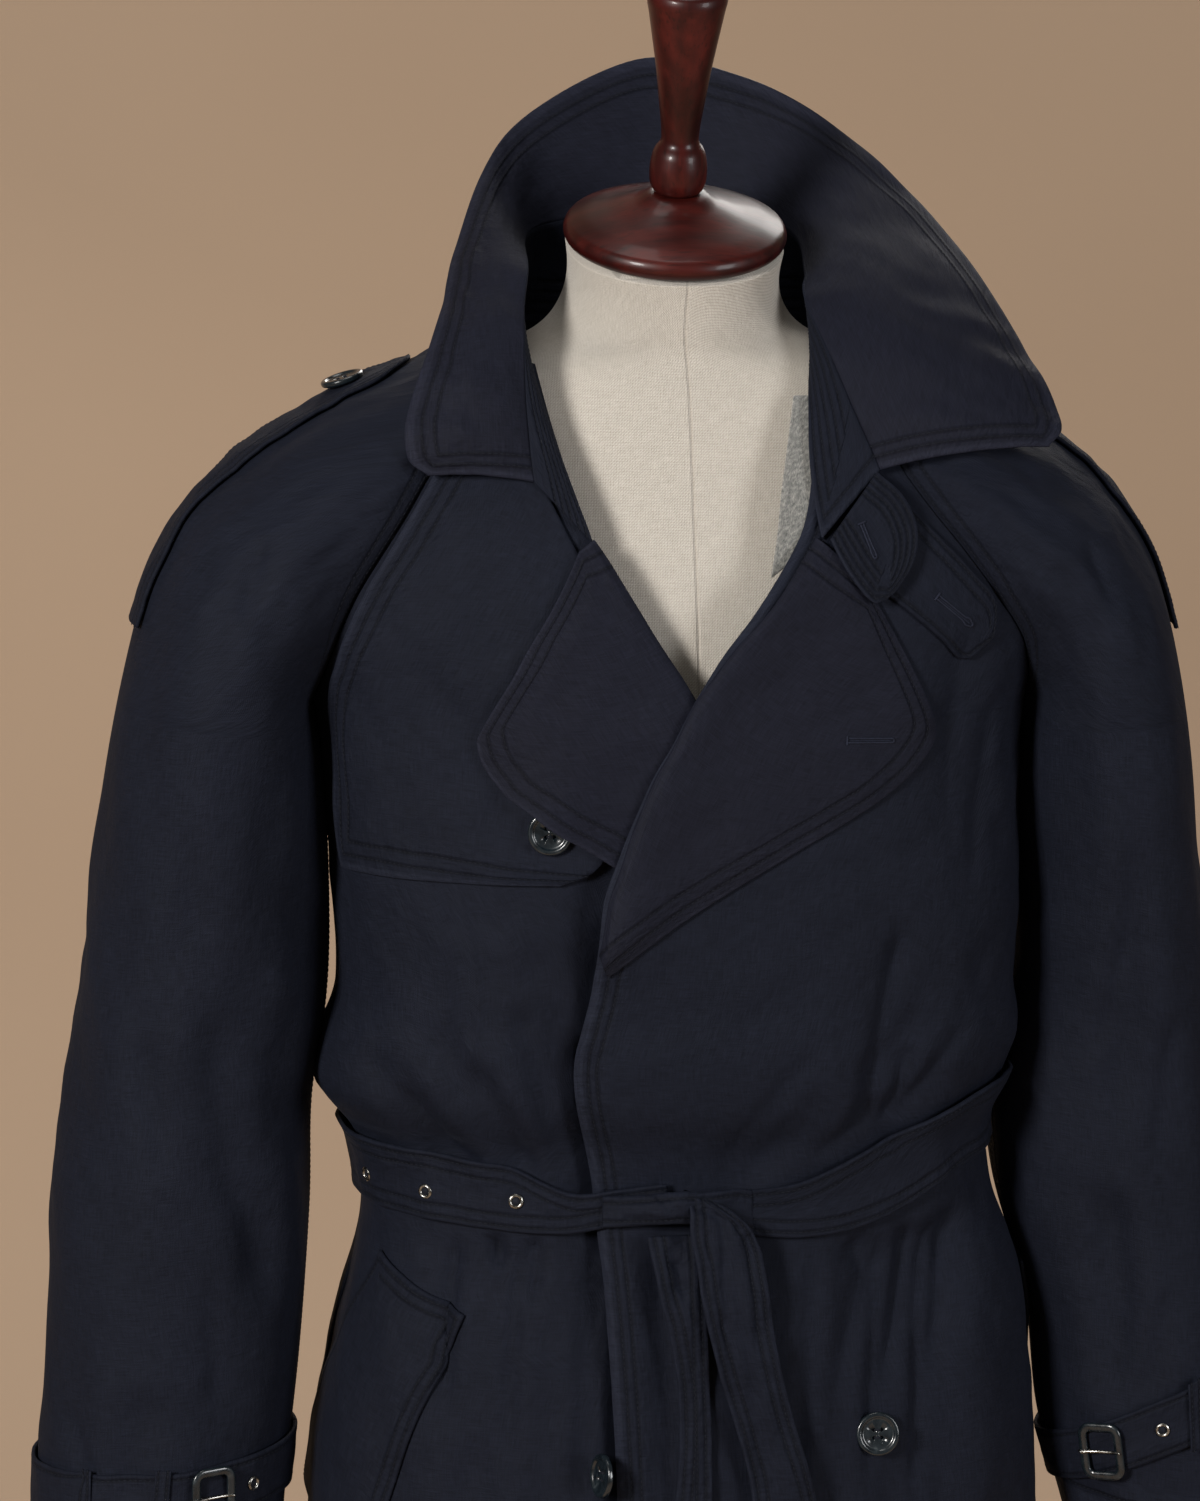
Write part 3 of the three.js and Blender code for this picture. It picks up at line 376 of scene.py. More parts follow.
# Smaller creases than the solids carry, in the same terms
CREASES = table("facing x1 z1 x2 z2 x3 z3 wide high", """
1 -166 1150 -140 1118 -112 1096 5 -5.5
1 -128 1168 -104 1128 -90 1094 5 -5.0
1 -100 1200 -92 1160 -74 1092 6 -5.0
1 -66 1180 -62 1140 -48 1094 5 -4.2
1 150 1176 128 1150 106 1120 5 -3.7
1 112 1240 98 1180 90 1118 6 -5.5
1 60 1170 30 1130 4 1094 6 -4.2
1 100 1140 78 1118 60 1104 5 -3.6
1 -132 1066 -138 1020 -142 950 6 -6.9
1 -96 1066 -104 1010 -108 920 5 -5.5
1 -58 1064 -64 1000 -70 900 6 -5.0
1 104 1066 98 1010 90 900 5 -6.5
1 134 1068 126 1010 120 880 6 -7.3
1 64 1062 58 1000 44 860 6 -5.0
1 -150 1380 -120 1340 -96 1290 12 -2.7
1 150 1400 138 1340 140 1260 12 -3.7
1 168 1360 158 1300 150 1230 10 -3.4
1 118 1170 110 1140 101 1120 5 -6.8
1 84 1062 94 1040 70 960 7 -7.2
1 120 1066 118 1036 98 950 7 -8.2
1 148 1072 142 1030 133 970 7 -7.6
1 -24 1066 -22 1000 -18 880 5 -8.1
1 -110 1066 -110 1056 -109 1044 4 -8.1
1 -90 1066 -90 1050 -92 1020 4 -6.9
""")
# How far the inner side of each sleeve bulges towards the trunk
INNER_BULGE = table("row left right", """
0 0 0
1 3 0
2 7 0
3 13 0
4 10 3
5 5 8
6 5 7
7.3 4 5
8 0 0
17 0 0
""")
SLEEVE_CREASES = table("side row1 turn1 row2 turn2 wide high", """
-1 7.4 0.36 5.6 0.5 8 -4.1
-1 4.9 0.34 3.4 0.46 7 -4.4
-1 2.8 0.56 1.7 0.62 6 -3.7
-1 1.9 0.2 1.2 0.3 6 -3.4
-1 11.8 0.5 9.6 0.62 10 -3.1
1 5.9 0.56 4.2 0.66 8 -4.4
1 4.9 0.38 3.2 0.5 7 -3.7
1 2.4 0.5 1.4 0.6 6 -3.7
1 11.6 0.5 9.4 0.62 10 -3.1
""")


# ---- Surfaces
def signed_power(value, power):
    return np.sign(value) * np.abs(value) ** power


def ramp(value, low, high):
    share = np.clip((value - low) / (high - low), 0, 1)
    return share * share * (3 - 2 * share)


def mix(first, second, share):
    return first + (second - first) * share


def bell(value, width):
    return np.exp(-(value / width) ** 2)


def unit(vectors):
    return vectors / np.maximum(np.linalg.norm(vectors, axis=-1, keepdims=True), 1e-9)


def points_of(x, y, z):
    return np.stack(np.broadcast_arrays(x, y, z), -1)


def read(rows, key, at):
    """Every column of a table at values of its key column, on smooth curves through the rows."""
    keys = rows[key]
    i = np.clip(np.searchsorted(keys, at) - 1, 0, len(keys) - 2)
    before, after = np.maximum(i - 1, 0), np.minimum(i + 2, len(keys) - 1)
    span = keys[i + 1] - keys[i]
    t = (at - keys[i]) / span
    out = {}
    for name, column in rows.items():
        slope_a = (column[i + 1] - column[before]) / (keys[i + 1] - keys[before]) * span
        slope_b = (column[after] - column[i]) / (keys[after] - keys[i]) * span
        rise = column[i + 1] - column[i]
        out[name] = (column[i] + t * slope_a + t * t * (3 * rise - 2 * slope_a - slope_b)
                     + t ** 3 * (slope_a + slope_b - 2 * rise))
    return out


def ripple(a, b, seed, wave):
    """Smooth uneven waves over a surface, mostly between -1 and 1."""
    rng = np.random.default_rng(int(seed))
    total = 0
    for turn, phase, stretch in rng.uniform((0, 0, 0.6), (math.pi, FULL_TURN, 1.6), (7, 3)):
        along = a * math.cos(turn) + b * math.sin(turn)
        total = total + np.sin(along * FULL_TURN / (wave * stretch) + phase)
    return total / 3.5


def fold_heights(folds, x, z, power):
    """Height and facing of each fold at the given places. A lower power makes a sharper crease."""
    for i in range(len(folds["wide"])):
        fold = {name: column[i] for name, column in folds.items()}
        away, along = np.inf, 0
        for first, second, order in (("1", "2", 0), ("2", "3", 1)):
            ax, az = fold["x" + first], fold["z" + first]
            dx, dz = fold["x" + second] - ax, fold["z" + second] - az
            t = np.clip(((x - ax) * dx + (z - az) * dz) / (dx * dx + dz * dz), 0, 1)
            here = np.hypot(x - ax - t * dx, z - az - t * dz)
            along = np.where(here < away, (order + t) / 2, along)
            away = np.minimum(away, here)
        ends = ramp(along, 0, 0.2) * (1 - ramp(along, 0.7, 1))
        yield fold["facing"], fold["high"] * ends * np.exp(-(away / fold["wide"]) ** power)


def trunk(turn, z, creased=True):
    """The trunk's surface at a turn in degrees, 0 the wearer's left and 90 the front, and a height."""
    size = read(TRUNK, "z", z)
    c, s = np.cos(np.radians(turn)), np.sin(np.radians(turn))
    half = np.where(c > 0, size["right"], size["left"])
    depth = np.where(s > 0, size["front"], size["back"])
    x = half * signed_power(c, 2 / SQUARE)
    y = -depth * signed_power(s, 2 / SQUARE)
    power = 2 - 2 / SQUARE
    out = unit(points_of(signed_power(c, power) / half, -signed_power(s, power) / depth, 0 * z))
    height = 0
    for folds, sharpness in ((FOLDS, 2), (CREASES, 1.3))[:1 + creased]:
        for facing, rise in fold_heights(folds, x, z, sharpness):
            height = height + np.where(facing * s > 0, rise, 0)
    height = height * ramp(np.abs(s), 0.05, 0.35)
    around = turn * PER_DEGREE
    calm = 1 - ramp(z, 1380, 1470)
    height = height + calm * (1.1 * ripple(around, z * 0.45, 3, 60) + 0.45 * ripple(around, z * 0.6, 8, 24))
    return points_of(x, y, z) + out * height[..., None]


def turn_of(x, z):
    size = read(TRUNK, "z", z)
    half = np.where(x > 0, size["right"], size["left"])
    share = np.minimum(np.abs(x) / half, 1) ** (SQUARE / 2)
    return np.degrees(np.arccos(np.sign(x) * share))


def skin(surface, u, v, step_u, step_v):
    """Points of a surface of two numbers, and its normals."""
    across = surface(u + step_u, v) - surface(u - step_u, v)
    along = surface(u, v + step_v) - surface(u, v - step_v)
    return surface(u, v), unit(np.cross(across, along))


def on_trunk(turn, z, level=0, creased=True):
    places, normals = skin(lambda a, b: trunk(-a, b, creased), -turn, z, 0.6, 1.5)
    return places + normals * np.asarray(level)[..., None]


def on_front(x, z, level=0, creased=True):
    return on_trunk(turn_of(x, z), z, level, creased)


def sleeve(rows, row, share):
    """A sleeve's surface, smoothed where the tube below the armpit turns into the raglan above."""
    row, share = np.broadcast_arrays(np.asarray(row, float), np.asarray(share, float))
    reach = 0.9 * bell(row - 8.4, 1.7) * (1 - ramp(np.abs(share), 0.72, 0.96))
    weights = {-1.5: 0.1, -0.75: 0.24, 0: 0.32, 0.75: 0.24, 1.5: 0.1}
    return sum(weight * sleeve_shape(rows, row + step * reach, share) for step, weight in weights.items())


def sleeve_shape(rows, row, share):
    """Rows run up to the neck, shares from the back seam over the top to the front seam."""
    size = read(rows, "row", row)
    front = points_of(size["seamX"], size["midY"], size["seamZ"])
    back = points_of(size["backX"], size["midY"], size["backZ"])
    raglan = (row > ARMPIT)[..., None]
    front = np.where(raglan, trunk(turn_of(size["seamX"], size["seamZ"]), size["seamZ"]), front)
    back = np.where(raglan, trunk(-turn_of(size["backX"], size["backZ"]), size["backZ"]), back)
    middle = (front + back) / 2
    opening = np.minimum((back[..., 1] - front[..., 1]) / 2 / size["deep"], 1)
    sweep = math.pi - np.arcsin(opening)
    top = points_of(size["topX"], middle[..., 1], size["topZ"])
    across = (top - middle) / (1 - np.cos(sweep))[..., None]
    spread = (front - back) / (2 * np.sin(np.where(opening > 0.05, sweep, 1)))[..., None]
    forward = np.where((opening > 0.05)[..., None], spread, points_of(0 * row, -size["deep"], 0 * row))
    angle = (share * sweep)[..., None]
    centre = top - across
    places = centre + across * np.cos(angle) + forward * np.sin(angle)
    out = unit(across * np.cos(angle) / (across ** 2).sum(-1, keepdims=True)
               + forward * np.sin(angle) / (forward ** 2).sum(-1, keepdims=True))
    arc = size["deep"] * 2.6
    side = np.sign(rows["topX"][0])
    bulge = read(INNER_BULGE, "row", row)["left" if side > 0 else "right"]
    height = bulge * ramp(np.abs(share), 0.62, 0.95)
    for folds, power in ((SLEEVE_FOLDS, 2), (SLEEVE_CREASES, 1.3)):
        for fold_side, row1, turn1, row2, turn2, wide, high in rows_of(folds):
            if fold_side != side:
                continue
            along = np.clip((row1 - row) / (row1 - row2), 0, 1)
            away = np.hypot((share - mix(turn1, turn2, along)) * arc, (row - mix(row1, row2, along)) * 60)
            ends = ramp(along, 0, 0.25) * (1 - ramp(along, 0.7, 1))
            height = height + high * ends * np.exp(-(away / wide) ** power)
    calm = 1 - ramp(np.abs(share), 0.8, 1)
    height = height + calm * (1.5 * ripple(share * arc, row * 24, 21 + side, 58)
                              + 0.5 * ripple(share * arc, row * 40, 31 + side, 24))
    return places + out * height[..., None]


def on_sleeve(rows, row, share, level=0):
    side = -np.sign(rows["topX"][0])
    places, normals = skin(lambda a, b: sleeve(rows, b, a * side), share * side, row, 0.01, 0.03)
    return places + normals * np.asarray(level)[..., None]


def rows_of(columns):
    return np.stack(list(columns.values()), -1)


def lengths(grid):
    """Distances over a grid of points from its first column and from its first row."""
    across = np.linalg.norm(np.diff(grid, axis=1), axis=-1).cumsum(1)
    along = np.linalg.norm(np.diff(grid, axis=0), axis=-1).cumsum(0)
    return np.pad(across, ((0, 0), (1, 0))), np.pad(along, ((1, 0), (0, 0)))


def stitch_values(across, along, seams):
    """For each point the number of the nearest row of stitches, how many rows and how far apart.

    A side's seams are the distance of the first row from the edge, the distance between rows and their count.
    """
    distance = {"low": across, "high": across[:, -1:] - across, "start": along, "end": along[-1:] - along}
    values = {side: 1 + (distance[side] - first) / apart for side, (first, apart, _) in seams.items()}
    best = np.full(across.shape + (3,), (99.0, 0.0, 1.0))
    for side, value in values.items():
        nearer = value < best[..., 0]
        best[nearer] = np.stack([value, 0 * value + seams[side][2], 0 * value + seams[side][1]], -1)[nearer]
    return best, values


THREADS = {}  # lines of stitches in each group of seams


def mark_stitches(group, grid, seams, values):
    """Adds the lines of a piece's stitch rows, cut at the corners where another side's rows take over."""
    for side, (_, _, count) in seams.items():
        value = values[side]
        others = [other for name, other in values.items() if name != side]
        rival = np.min(others, axis=0) if others else value + 99
        turned = side in ("start", "end")
        lines = (grid.transpose(1, 0, 2), value.T, rival.T) if turned else (grid, value, rival)
        if side in ("high", "end"):
            lines = [line[:, ::-1] for line in lines]
        for number in range(1, count + 1):
            runs = [[]]
            for points, here, other in zip(*lines):
                if here[-1] > number and np.interp(number, here, other) > number - 0.05:
                    runs[-1].append([np.interp(number, here, points[:, k]) for k in range(3)])
                elif runs[-1]:
                    runs.append([])
            THREADS.setdefault(group, []).extend(np.array(run) for run in runs if len(run) > 3)


def new_object(name, mesh, look):
    piece = add_object(name, mesh)
    mesh.materials.clear()
    mesh.materials.append(look)
    mesh.shade_smooth()
    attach(piece, "root")
    return piece


def build_mesh(name, points, faces, **attributes):
    """A mesh in metres from points in millimetres, turned so that it faces out."""
    points = np.asarray(points)
    corners = points[[face[:3] for face in faces]]
    volume = np.einsum("ij,ij->i", corners[:, 0], np.cross(corners[:, 1], corners[:, 2])).sum()
    if volume < 0:
        faces = [face[::-1] for face in faces]
    mesh = bpy.data.meshes.new(name)
    mesh.from_pydata((points * MM).tolist(), [], faces)
    for key, values in attributes.items():
        data = mesh.attributes.new(key, "FLOAT_VECTOR", "POINT")
        data.data.foreach_set("vector", np.asarray(values, float).ravel())
    return mesh


def ring_faces(index, ends=(0, -1)):
    """Faces between closed rings of point numbers, and across the rings named as ends."""
    side = np.roll(index, -1, 1)
    faces = np.stack([index[:-1], side[:-1], side[1:], index[1:]], -1).reshape(-1, 4).tolist()
    return faces + [index[i].tolist() for i in ends]


def cloth_piece(name, outer, inner, look, seams, group=None, slot="cloth", held="draped",
                rests_on=("form_torso",)):
    """A closed wall of cloth between two grids of points, with a rounded edge and its rows of stitches.

    It stands for the solid of its own name.
    """
    rows, columns = outer.shape[:2]
    across, along = lengths(outer)
    marks, values = stitch_values(across, along, seams)
    mark_stitches(group, outer, seams, values)
    index = np.arange(rows * columns).reshape(rows, columns)
    border = np.concatenate([index[0], index[1:, -1], index[-1, -2::-1], index[-2:0:-1, 0]])
    out = np.zeros_like(outer)
    out[0] += unit(outer[0] - outer[1])
    out[-1] += unit(outer[-1] - outer[-2])
    out[:, 0] += unit(outer[:, 0] - outer[:, 1])
    out[:, -1] += unit(outer[:, -1] - outer[:, -2])
    outside, inside = outer.reshape(-1, 3), inner.reshape(-1, 3)
    thick = np.linalg.norm(outside - inside, axis=-1)[border, None]
    edge = (outside + inside)[border] / 2 + unit(out.reshape(-1, 3)[border]) * thick * 0.3
    size = rows * columns
    wall = np.stack([index[:-1, :-1], index[:-1, 1:], index[1:, 1:], index[1:, :-1]], -1).reshape(-1, 4)
    ring = 2 * size + np.arange(len(border))
    next_border, next_ring = np.roll(border, -1), np.roll(ring, -1)
    faces = np.concatenate([wall, wall[:, ::-1] + size, np.stack([next_border, border, ring, next_ring], -1),
                            np.stack([next_ring, ring, border + size, next_border + size], -1)])
    flat_place = np.stack([across, along, 0 * along], -1).reshape(-1, 3)
    marks = marks.reshape(-1, 3)
    mesh = build_mesh(name, np.concatenate([outside, inside, edge]), faces.tolist(),
                      cloth=np.concatenate([flat_place, flat_place, flat_place[border]]),
                      stitch=np.concatenate([marks, marks, marks[border]]))
    piece = new_object(name, mesh, look)
    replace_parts(piece, name)
    return piece


# ---- Looks
class Look:
    """One material, built node by node."""

    def __init__(self, name):
        self.material = bpy.data.materials.new(name)
        self.material.use_nodes = True
        self.tree = self.material.node_tree
        self.tree.nodes.clear()
        self.shader = self.add("ShaderNodeBsdfPrincipled")
        self.output = self.add("ShaderNodeOutputMaterial", {"Surface": self.shader.outputs[0]})

    def add(self, kind, inputs=None, **settings):
        node = self.tree.nodes.new(kind)
        for key, value in settings.items():
            setattr(node, key, value)
        for key, value in (inputs or {}).items():
            self.feed(node.inputs[key], value)
        return node

    def feed(self, socket, value):
        if isinstance(value, bpy.types.NodeSocket):
            self.tree.links.new(value, socket)
        else:
            socket.default_value = value

    def done(self, inputs):
        """The material, with inputs of its shader set by name."""
        for name, value in inputs.items():
            self.feed(self.shader.inputs[name], value)
        return self.material

    def attribute(self, name):
        return self.add("ShaderNodeAttribute", attribute_name=name).outputs["Vector"]

    def object_place(self):
        return self.add("ShaderNodeTexCoord").outputs["Object"]

    def split(self, vector):
        return self.add("ShaderNodeSeparateXYZ", {0: vector}).outputs

    def math(self, operation, *values):
        return self.add("ShaderNodeMath", dict(enumerate(values)), operation=operation).outputs[0]

    def times(self, first, second):
        return self.math("MULTIPLY", first, second)

    def plus(self, first, second):
        return self.math("ADD", first, second)

    def added(self, total, value, amount):
        """A total with an amount of a value added."""
        return self.math("MULTIPLY_ADD", value, amount, total)

    def scaled(self, vector, scale):
        inputs = {0: vector, 1: scale}
        return self.add("ShaderNodeVectorMath", inputs, operation="MULTIPLY").outputs[0]

    def noise(self, vector, scale=1.0, detail=2.0, rough=0.5):
        inputs = {"Vector": vector, "Scale": scale, "Detail": detail, "Roughness": rough}
        return self.add("ShaderNodeTexNoise", inputs).outputs["Fac"]

    def range(self, value, low, high, to_low, to_high):
        inputs = {"Value": value, "From Min": low, "From Max": high, "To Min": to_low, "To Max": to_high}
        return self.add("ShaderNodeMapRange", inputs).outputs["Result"]

    def colours(self, value, *stops):
        ramp_node = self.add("ShaderNodeValToRGB", {"Fac": value})
        elements = ramp_node.color_ramp.elements
        while len(elements) < len(stops):
            elements.new(0.5)
        for element, (place, colour) in zip(elements, stops):
            element.position = place
            element.color = (*colour, 1)
        return ramp_node.outputs["Color"]

    def blend(self, share, first, second, kind="MIX"):
        node = self.add("ShaderNodeMix", data_type="RGBA", blend_type=kind)
        for place, value in ((0, share), (6, first), (7, second)):
            self.feed(node.inputs[place], (*value, 1) if isinstance(value, tuple) else value)
        return node.outputs[2]

    def bump(self, height):
        """A height in millimetres."""
        inputs = {"Height": height, "Distance": MM, "Strength": 1.0}
        return self.add("ShaderNodeBump", inputs).outputs["Normal"]


def navy_cloth(name, colour, rough=0.72):
    """Close twill with slubs, grooves along the stitch rows with painted shade in them, and puckers between
    them.
    """
    look = Look(name)
    place = look.attribute("cloth")
    across, along, _ = look.split(place)
    row, count, apart = look.split(look.attribute("stitch"))
    near = look.math("ABSOLUTE", look.math("SUBTRACT", row, look.math("ROUND", row)))
    sewn = look.times(look.math("GREATER_THAN", row, 0.5), look.math("LESS_THAN", row, look.plus(count, 0.5)))
    groove = look.times(sewn, look.range(look.times(near, apart), 0.3, 1.8, 1.0, 0.0))
    band = look.range(look.math("SUBTRACT", row, count), 0.5, 2.0, 1.0, 0.0)
    band = look.times(band, look.math("GREATER_THAN", count, 0.5))
    twill = look.math("SINE", look.plus(look.times(across, 7.2), look.times(along, 4.6)))
    slub = look.plus(*(look.noise(look.scaled(place, size)) for size in ((1.5, 0.09, 1), (0.09, 1.5, 1))))
    pucker = look.noise(look.scaled(place, (0.17, 0.17, 1)), detail=3.0)
    crumple = look.noise(look.scaled(place, (0.035, 0.026, 1)), detail=4.0, rough=0.55)
    height = look.times(twill, 0.035)
    for value, amount in ((slub, 0.16), (groove, -0.5), (look.times(pucker, band), 1.3), (crumple, 2.8)):
        height = look.added(height, value, amount)
    shade = look.range(slub, 0.7, 1.3, 0.7, 1.35)
    shade = look.times(shade, look.range(look.noise(place, 0.012, 3.0), 0.3, 0.7, 0.92, 1.08))
    # Painted shade: the colour is darkened in the grooves along the stitch rows.
    shade = look.times(shade, look.range(groove, 0.0, 1.0, 1.0, 0.55))
    worn = look.times(look.range(row, 0.0, 0.5, 0.35, 0.0), count)
    tone = look.blend(look.math("MINIMUM", worn, 0.35), colour, tuple(2.2 * part + 0.004 for part in colour))
    grey = look.add("ShaderNodeCombineXYZ", {0: shade, 1: shade, 2: shade}).outputs[0]
    return look.done({"Base Color": look.blend(1.0, tone, grey, "MULTIPLY"), "Normal": look.bump(height),
                      "Roughness": rough, "Sheen Weight": 0.015, "Sheen Roughness": 0.4,
                      "Sheen Tint": (0.4, 0.48, 0.7, 1), "Specular IOR Level": 0.08})


def linen():
    """Plain weave of uneven undyed threads."""
    look = Look("linen")
    place = look.attribute("cloth")
    across, along, _ = look.split(place)
    warp_turn, weft_turn = look.times(across, 3.6), look.times(along, 3.6)
    warp, weft = (look.math("ABSOLUTE", look.math("SINE", turn)) for turn in (warp_turn, weft_turn))
    over = look.math("SINE", look.plus(warp_turn, weft_turn))
    weave = look.plus(look.times(warp, weft), look.times(over, 0.25))
    slub = look.plus(*(look.noise(look.scaled(place, size)) for size in ((1.3, 0.12, 1), (0.12, 1.3, 1))))
    shade = look.plus(look.range(weave, 0.0, 1.2, 0.0, 0.6), look.range(slub, 0.4, 1.6, 0.0, 0.4))
    colour = look.colours(shade, (0.1, (0.32, 0.285, 0.24)), (0.5, (0.49, 0.452, 0.4)),
                          (0.85, (0.61, 0.575, 0.525)))
    seam = look.range(look.math("ABSOLUTE", across), 0.3, 1.3, 1.0, 0.0)
    colour = look.blend(look.times(seam, 0.2), colour, (0.2, 0.16, 0.12))
    height = look.added(look.added(look.times(weave, 0.22), slub, 0.25), seam, -0.6)
    return look.done({"Base Color": colour, "Normal": look.bump(height), "Roughness": 0.92,
                      "Sheen Weight": 0.15})


def turned_wood(name, grain_axis):
    """Dark red-brown wood with open pores under a gloss varnish, its grain along one axis."""
    look = Look(name)
    place = look.object_place()
    stretch = {"X": (12, 90, 90), "Z": (90, 90, 9)}[grain_axis]
    grain = look.noise(look.scaled(place, stretch), detail=5.0, rough=0.6)
    cloud = look.noise(place, 22.0, 3.0)
    pores = look.noise(look.scaled(place, tuple(6 * s for s in stretch)))
    tone = look.plus(look.times(grain, 0.65), look.times(cloud, 0.35))
    colour = look.colours(tone, (0.3, (0.005, 0.0011, 0.001)), (0.5, (0.026, 0.003, 0.0024)),
                          (0.72, (0.068, 0.008, 0.0055)))
    dark = look.range(pores, 0.32, 0.42, 0.55, 0.0)
    return look.done({"Base Color": look.blend(dark, colour, (0.008, 0.002, 0.0015)),
                      "Normal": look.bump(look.times(pores, 0.03)),
                      "Roughness": look.range(cloud, 0.3, 0.7, 0.3, 0.44), "Coat Weight": 0.13,
                      "Coat Roughness": 0.12, "Specular IOR Level": 0.2})


def marbled_horn():
    """Dark blue-green with paler grey clouds."""
    look = Look("marbled_horn")
    place = look.object_place()
    cloud = look.noise(place, 190.0, 4.0, 0.6)
    streak = look.noise(look.scaled(place, (160, 420, 90)), detail=3.0)
    tone = look.plus(look.times(cloud, 0.6), look.times(streak, 0.4))
    colour = look.colours(tone, (0.38, (0.002, 0.004, 0.006)), (0.6, (0.008, 0.013, 0.017)),
                          (0.8, (0.08, 0.095, 0.1)))
    return look.done({"Base Color": colour, "Roughness": look.range(streak, 0.3, 0.7, 0.2, 0.34),
                      "Coat Weight": 0.3, "Coat Roughness": 0.1})


def nickel():
    look = Look("nickel")
    place = look.object_place()
    tarnish = look.noise(place, 600.0, 3.0)
    colour = look.colours(tarnish, (0.3, (0.16, 0.155, 0.14)), (0.7, (0.42, 0.41, 0.385)))
    return look.done({"Base Color": colour, "Roughness": look.range(tarnish, 0.3, 0.7, 0.18, 0.34),
                      "Metallic": 1.0})


def grey_wool():
    """Heathered grey with a felted surface."""
    look = Look("grey_wool")
    place = look.attribute("cloth")
    fibre = look.noise(look.scaled(place, (1.4, 0.5, 1)), detail=5.0, rough=0.7)
    clump = look.noise(place, 0.35, 4.0)
    colour = look.colours(look.added(look.times(fibre, 0.6), clump, 0.4),
                          (0.36, (0.06, 0.062, 0.06)), (0.5, (0.17, 0.17, 0.16)), (0.66, (0.36, 0.35, 0.32)))
    return look.done({"Base Color": colour, "Normal": look.bump(look.added(fibre, clump, 1.2)),
                      "Roughness": 1.0, "Sheen Weight": 0.4})


def sewing_thread(name, colour):
    look = Look(name)
    place = look.object_place()
    twist = look.noise(place, 900.0)
    twisted = look.colours(twist, (0.35, tuple(0.6 * part for part in colour)), (0.65, colour))
    return look.done({"Base Color": twisted, "Roughness": 0.8, "Specular IOR Level": 0.2})


NAVY = navy_cloth("navy_cloth", (0.0062, 0.0075, 0.0135))
FACING = navy_cloth("navy_facing", (0.0072, 0.0079, 0.0142), 0.66)
LINEN = linen()
CAP_WOOD = turned_wood("turned_cap_wood", "X")
HANDLE_WOOD = turned_wood("turned_handle_wood", "Z")
HORN = marbled_horn()
NICKEL = nickel()
WOOL = grey_wool()
THREAD = sewing_thread("navy_thread", (0.0075, 0.009, 0.0155))
EYE_THREAD = sewing_thread("buttonhole_thread", (0.012, 0.0145, 0.028))


# ---- Trunk, sleeves and what lies on them
def trunk_lines(rows, key):
    """Heights and raglan rows of the trunk's grid, close together at the armpit."""
    low = np.concatenate([np.arange(HEM, WAIST, 7), np.arange(WAIST, ARMPIT_HEIGHT, 4)])
    raglan = mix(ARMPIT, NECK, np.linspace(0, 1, 44) ** 1.5)
    return (np.concatenate([low, read(rows, "row", raglan)[key]])[:, None],
            np.concatenate([0 * low, raglan])[:, None])


def level_left(x, z):
    edge = read(EDGE_LEFT, "z", z)["x"]
    return ROLL_RISE * ramp(z, 1190, 1235) * (1 - ramp(z, 1400, 1452)) * bell(x - edge, 30)


def level_right(x, z):
    edge = read(EDGE_LEFT, "z", np.minimum(z, 1540))["x"]
    dip = 8.5 * (1 - ramp(z, 1200, 1260)) * np.exp(-(np.maximum(edge + 3 - x, 0) / 9) ** 1.2)
    return -WRAP * ramp(x, edge - 25, edge + 5) - dip


def front_panel(name, rows, edges, level, seams):
    """A front from its free edge to the side seam, thinner at the edge."""
    side = np.sign(rows["topX"][0])
    z, row = trunk_lines(rows, "seamZ")
    start = turn_of(read(edges, "z", z)["x"], z)
    seam = turn_of(read(rows, "row", row)["seamX"], z)
    end = np.where(row > ARMPIT, seam, 0 if side > 0 else 180) + side * SEAM_TURN
    turn = mix(start, end, np.linspace(0, 1, 90) ** 0.9)
    x = trunk(turn, z)[..., 0]
    height = level(x, z)
    thin = 1.6 * bell(x - x[:, :1], 2)
    outer, inner = on_trunk(turn, z, height - thin), on_trunk(turn, z, height - CLOTH)
    cloth_piece(name, outer, inner, NAVY, seams, "stitches_fronts")


front_panel("front_left", SLEEVE_LEFT, EDGE_LEFT, level_left, {"low": (8, 5.5, 2)})
front_panel("front_right", SLEEVE_RIGHT, EDGE_RIGHT, level_right, {})

z, row = trunk_lines(SLEEVE_RIGHT, "backZ")
start, end = (np.where(row > ARMPIT, -turn_of(read(rows, "row", row)["backX"], z), side) + gap
              for rows, side, gap in ((SLEEVE_RIGHT, -180, SEAM_TURN), (SLEEVE_LEFT, 0, -SEAM_TURN)))
turn = mix(start, end, np.linspace(0, 1, 110))
cloth_piece("back", on_trunk(turn, z, 0 * turn), on_trunk(turn, z, 0 * turn - CLOTH), NAVY, {})


def eased(grid, row, share):
    """The grid smoothed where the rows of the arm pass into those of the shoulder."""
    weight = (0.5 * bell(row - 8.2, 0.8) * (1 - share ** 6))[..., None]
    for _ in range(120):
        middle = (np.roll(grid, 1, axis=0) + np.roll(grid, -1, axis=0)) / 2
        grid = grid + weight * (middle - grid)
    return grid


for name, rows in (("sleeve_left", SLEEVE_LEFT), ("sleeve_right", SLEEVE_RIGHT)):
    raglan = mix(ARMPIT, NECK, np.linspace(0, 1, 52) ** 1.5)
    row = np.concatenate([np.arange(0, ARMPIT, 0.075), raglan])[:, None]
    share = np.linspace(-1 + SEAM_SHARE, 1 - SEAM_SHARE, 110)[None]
    outer, inner = (eased(on_sleeve(rows, row, share, level + 0 * row * share), row, share)
                    for level in (0, -CLOTH))
    cloth_piece(name, outer, inner, NAVY, {"low": (2.5, 7, 1), "high": (2.5, 7, 2), "start": (24, 4, 1)},
                "stitches_sleeves")


PATCHES = {}


